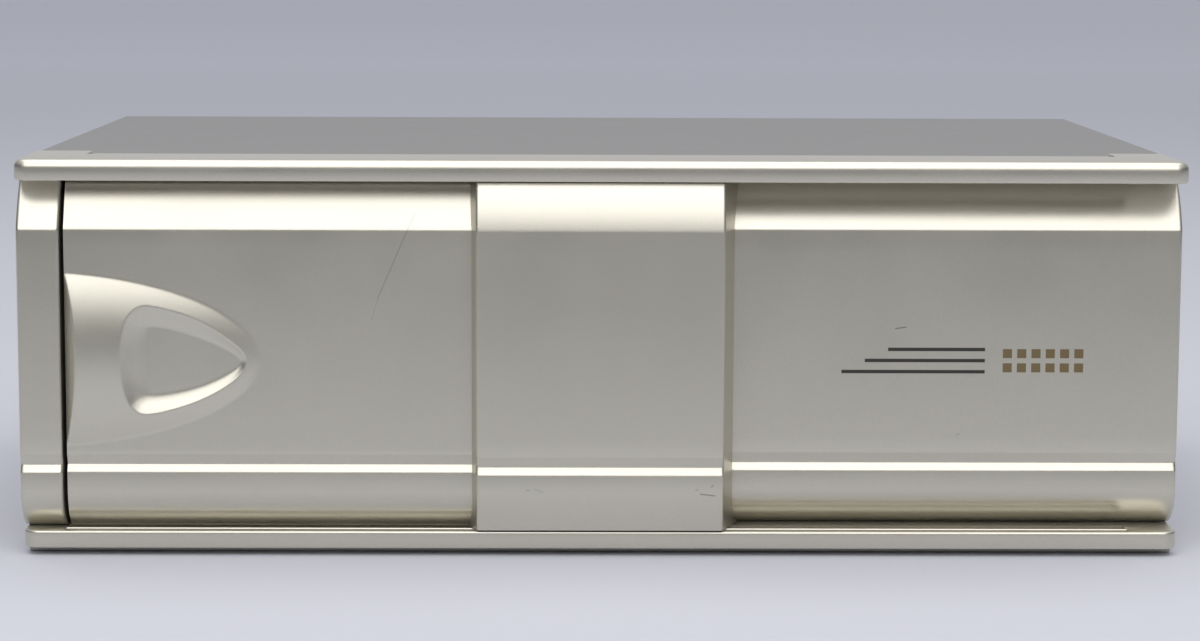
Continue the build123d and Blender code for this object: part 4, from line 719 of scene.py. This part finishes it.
ground = material("ground_steel", srgb(205, 205, 205), 0.18, metal=1.0, mottle=0.1, mottle_scale=200)
brass = material("brass", srgb(205, 172, 96), 0.28, metal=1.0, mottle=0.15, mottle_scale=200)
green = material("circuit_board", srgb(26, 78, 44), 0.35, grain=0.3, grain_scale=500, mottle=0.3, mottle_scale=200)
motor = material("motor_can", srgb(165, 165, 165), 0.3, metal=0.95, mottle=0.15, mottle_scale=120)
lens = material("lens", srgb(120, 130, 190), 0.05, mottle=0.1)
floor_mat = material("floor", srgb(192, 193, 201), 0.75, mottle=0.02, mottle_scale=3)


def calc(tree, operation, first, second=0.0):
    """Output of a math node."""
    node = linked("ShaderNodeMath", tree, i0=first, i1=second)
    node.operation = operation
    return node.outputs[0]


def near(tree, value, middle, reach, soft):
    """One where the value lies within reach of the middle, zero beyond, soft between."""
    away = calc(tree, "ABSOLUTE", calc(tree, "SUBTRACT", value, middle))
    return linked("ShaderNodeMapRange", tree, Value=away, From_Min=reach + soft, From_Max=reach).outputs["Result"]


def streak(tree, place, start, end, width):
    """Mask of a straight mark on the front, between two (x, z) points in millimetres."""
    a, b = Vector((start[0], 0, start[1])) * MM, Vector((end[0], 0, end[1])) * MM
    along = (b - a).normalized()
    parts = []
    for axis, reach, soft in ((along, (b - a).length / 2, width * MM), (Vector((-along.z, 0, along.x)), 0.0, width * MM)):
        dot = linked("ShaderNodeVectorMath", tree, i0=place, i1=axis)
        dot.operation = "DOT_PRODUCT"
        parts.append(near(tree, dot.outputs["Value"], (a + b).dot(axis) / 2, reach, soft))
    return calc(tree, "MULTIPLY", *parts)


def stain(mat, mask, colour, strength):
    """Blends a colour into the finish where the mask is set."""
    tree = mat.node_tree
    socket = tree.nodes["Principled BSDF"].inputs["Base Color"]
    over = linked("ShaderNodeMix", tree)
    over.data_type = "RGBA"
    tree.links.new(calc(tree, "MULTIPLY", mask, strength), over.inputs["Factor"])
    tree.links.new(socket.links[0].from_socket, over.inputs[6])
    over.inputs[7].default_value = colour
    tree.links.new(over.outputs[2], socket)


def front_paint(name, streaks):
    """The silver paint with thin scratches: (start, end, width, strength) each."""
    mat = material(name, srgb(207, 203, 190), 0.33, metal=0.88, grain=0.12, grain_scale=2600, mottle=0.03, bump=0.05,
                   bump_scale=2400)
    tree = mat.node_tree
    place = tree.nodes.new("ShaderNodeTexCoord").outputs["Object"]
    for start, end, width, strength in streaks:
        stain(mat, streak(tree, place, start, end, width), SCRATCH, strength)
    return mat


SCRATCH = srgb(70, 66, 58)
door_paint = front_paint("inner_door_paint", [((-47.9, 88.4), (-57.4, 66.6), 0.22, 0.35),
                                              ((-57.4, 66.6), (-59.0, 61.0), 0.16, 0.2)])
outer_paint = front_paint("outer_door_paint", [((25.4, 16.5), (29.0, 16.1), 0.3, 0.6), ((28.2, 18.4), (28.6, 18.8), 0.3, 0.5),
                                               ((24.2, 17.5), (24.8, 17.7), 0.25, 0.35), ((-19.3, 17.4), (-18.7, 17.5), 0.3, 0.35),
                                               ((-17.3, 17.7), (-15.2, 17.0), 0.2, 0.3)])
panel_paint = front_paint("panel_paint", [((75.8, 58.4), (78.5, 58.8), 0.22, 0.8), ((92.0, 30.5), (92.8, 30.9), 0.2, 0.4)])
# generic print on the panel: two rows of six small squares beside three stepped lines
SQUARES_LEFT, SQUARES_LOW, SQUARE_PITCH = 103.0, 46.4, 3.7
tree = panel_paint.node_tree
spot = linked("ShaderNodeSeparateXYZ", tree, i0=tree.nodes.new("ShaderNodeTexCoord").outputs["Object"])
mask = None
for axis, low, count in (("X", SQUARES_LEFT, 6), ("Z", SQUARES_LOW, 2)):
    cell = calc(tree, "DIVIDE", calc(tree, "SUBTRACT", spot.outputs[axis], low * MM), SQUARE_PITCH * MM)
    inside = near(tree, cell, count / 2, count / 2, 0.001)
    square = near(tree, calc(tree, "FRACT", cell), 0.5, 0.31, 0.02)
    both = calc(tree, "MULTIPLY", inside, square)
    mask = both if mask is None else calc(tree, "MULTIPLY", mask, both)
stain(panel_paint, mask, srgb(132, 112, 72), 0.9)
for place_z, start_x in ((47.2, 62.0), (50.1, 68.0), (53.0, 74.0)):
    line = calc(tree, "MULTIPLY", near(tree, spot.outputs["X"], (start_x + 99.0) / 2 * MM, (99.0 - start_x) / 2 * MM, 0.0001),
                near(tree, spot.outputs["Z"], place_z * MM, 0.0004, 0.0001))
    stain(panel_paint, line, srgb(38, 36, 34), 0.9)
finish_of = {
    "silver_moulding": silver, "cover_steel": cover_paint, "zinc_steel": steel, "black_plastic": black,
    "grey_plastic": grey, "white_plastic": white, "rubber": rubber, "screws": zinc, "polished_steel": ground,
    "brass": brass, "circuit_board": green, "motor_steel": motor, "lens": lens,
}
for row in frame["record"]["subparts"]:
    node = frame["nodes"][row["node"]]
    node.data.materials.clear()
    node.data.materials.append(finish_of[row["material_slot"]])
# painted shade: the floor's colour darkens towards the front for every ray but the camera's, standing in for a dim room
# there, so the faces mirror it and take bounced light from it darker than the floor looks in the picture
tree = floor_mat.node_tree
shader = tree.nodes["Principled BSDF"]
lit = shader.inputs["Base Color"].links[0].from_socket
place = linked("ShaderNodeSeparateXYZ", tree, i0=tree.nodes.new("ShaderNodeTexCoord").outputs["Object"])
front_painted_shade = linked("ShaderNodeMapRange", tree, Value=place.outputs["Y"], From_Min=-0.85, From_Max=-0.25, To_Min=0.12)
# and painted light makes it paler far behind, for every ray
rear_painted_light = linked("ShaderNodeMapRange", tree, Value=place.outputs["Y"], From_Min=0.4, From_Max=3.0, To_Min=1.0, To_Max=1.5)
dim = tree.nodes.new("ShaderNodeVectorMath")
dim.operation = "SCALE"
tree.links.new(lit, dim.inputs[0])
seen = tree.nodes.new("ShaderNodeLightPath").outputs["Is Camera Ray"]
# the painted shade in front is kept off camera rays only
shade_ahead = calc(tree, "MAXIMUM", front_painted_shade.outputs["Result"], seen)
tree.links.new(calc(tree, "MULTIPLY", shade_ahead, rear_painted_light.outputs["Result"]), dim.inputs["Scale"])
tree.links.new(dim.outputs["Vector"], shader.inputs["Base Color"])
floor.data.materials.append(floor_mat)

# ---------------------------------------------------------------- pieces and their bodies
slot_of = {row["node"]: row["material_slot"] for row in frame["record"]["subparts"]}
for piece, body, node, paint in (
    (left_cap, "case", "left_end_cap", silver),
    (right_face, "case", "right_panel", panel_paint),
    (upper_rail, "case", "upper_front_rail", silver),
    (lower_rail, "case", "lower_front_rail", silver),
    (inner_shell, "inner_door", "inner_door", door_paint),
    (outer_shell, "outer_door", "outer_door", outer_paint),
    (cover_heads, "case", "cover_screws", None),
    (lock_heads, "case", "transport_screws", None),
    (dials[0], "left_dial", "left_dial", None),
    (dials[1], "right_dial", "right_dial", None),
    (dampers, "case", "rubber_dampers", None),
    (springs, "case", "suspension_springs", None),
    (thread, "lift_screw", "lift_screw", None),
    (platter, "turntable", "turntable", None),
    (puck, "clamp_puck", "clamp_puck", None),
    (spindle_can, "drive_unit", "spindle_motor", None),
    (loading_can, "drive_unit", "loading_motor", None),
    (lift_can, "case", "lift_motor", None),
):
    piece.data.materials.clear()
    piece.data.materials.append(paint or finish_of[slot_of[node]])
    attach(piece, body)
    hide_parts(node)

scene.view_settings.view_transform = "Standard"
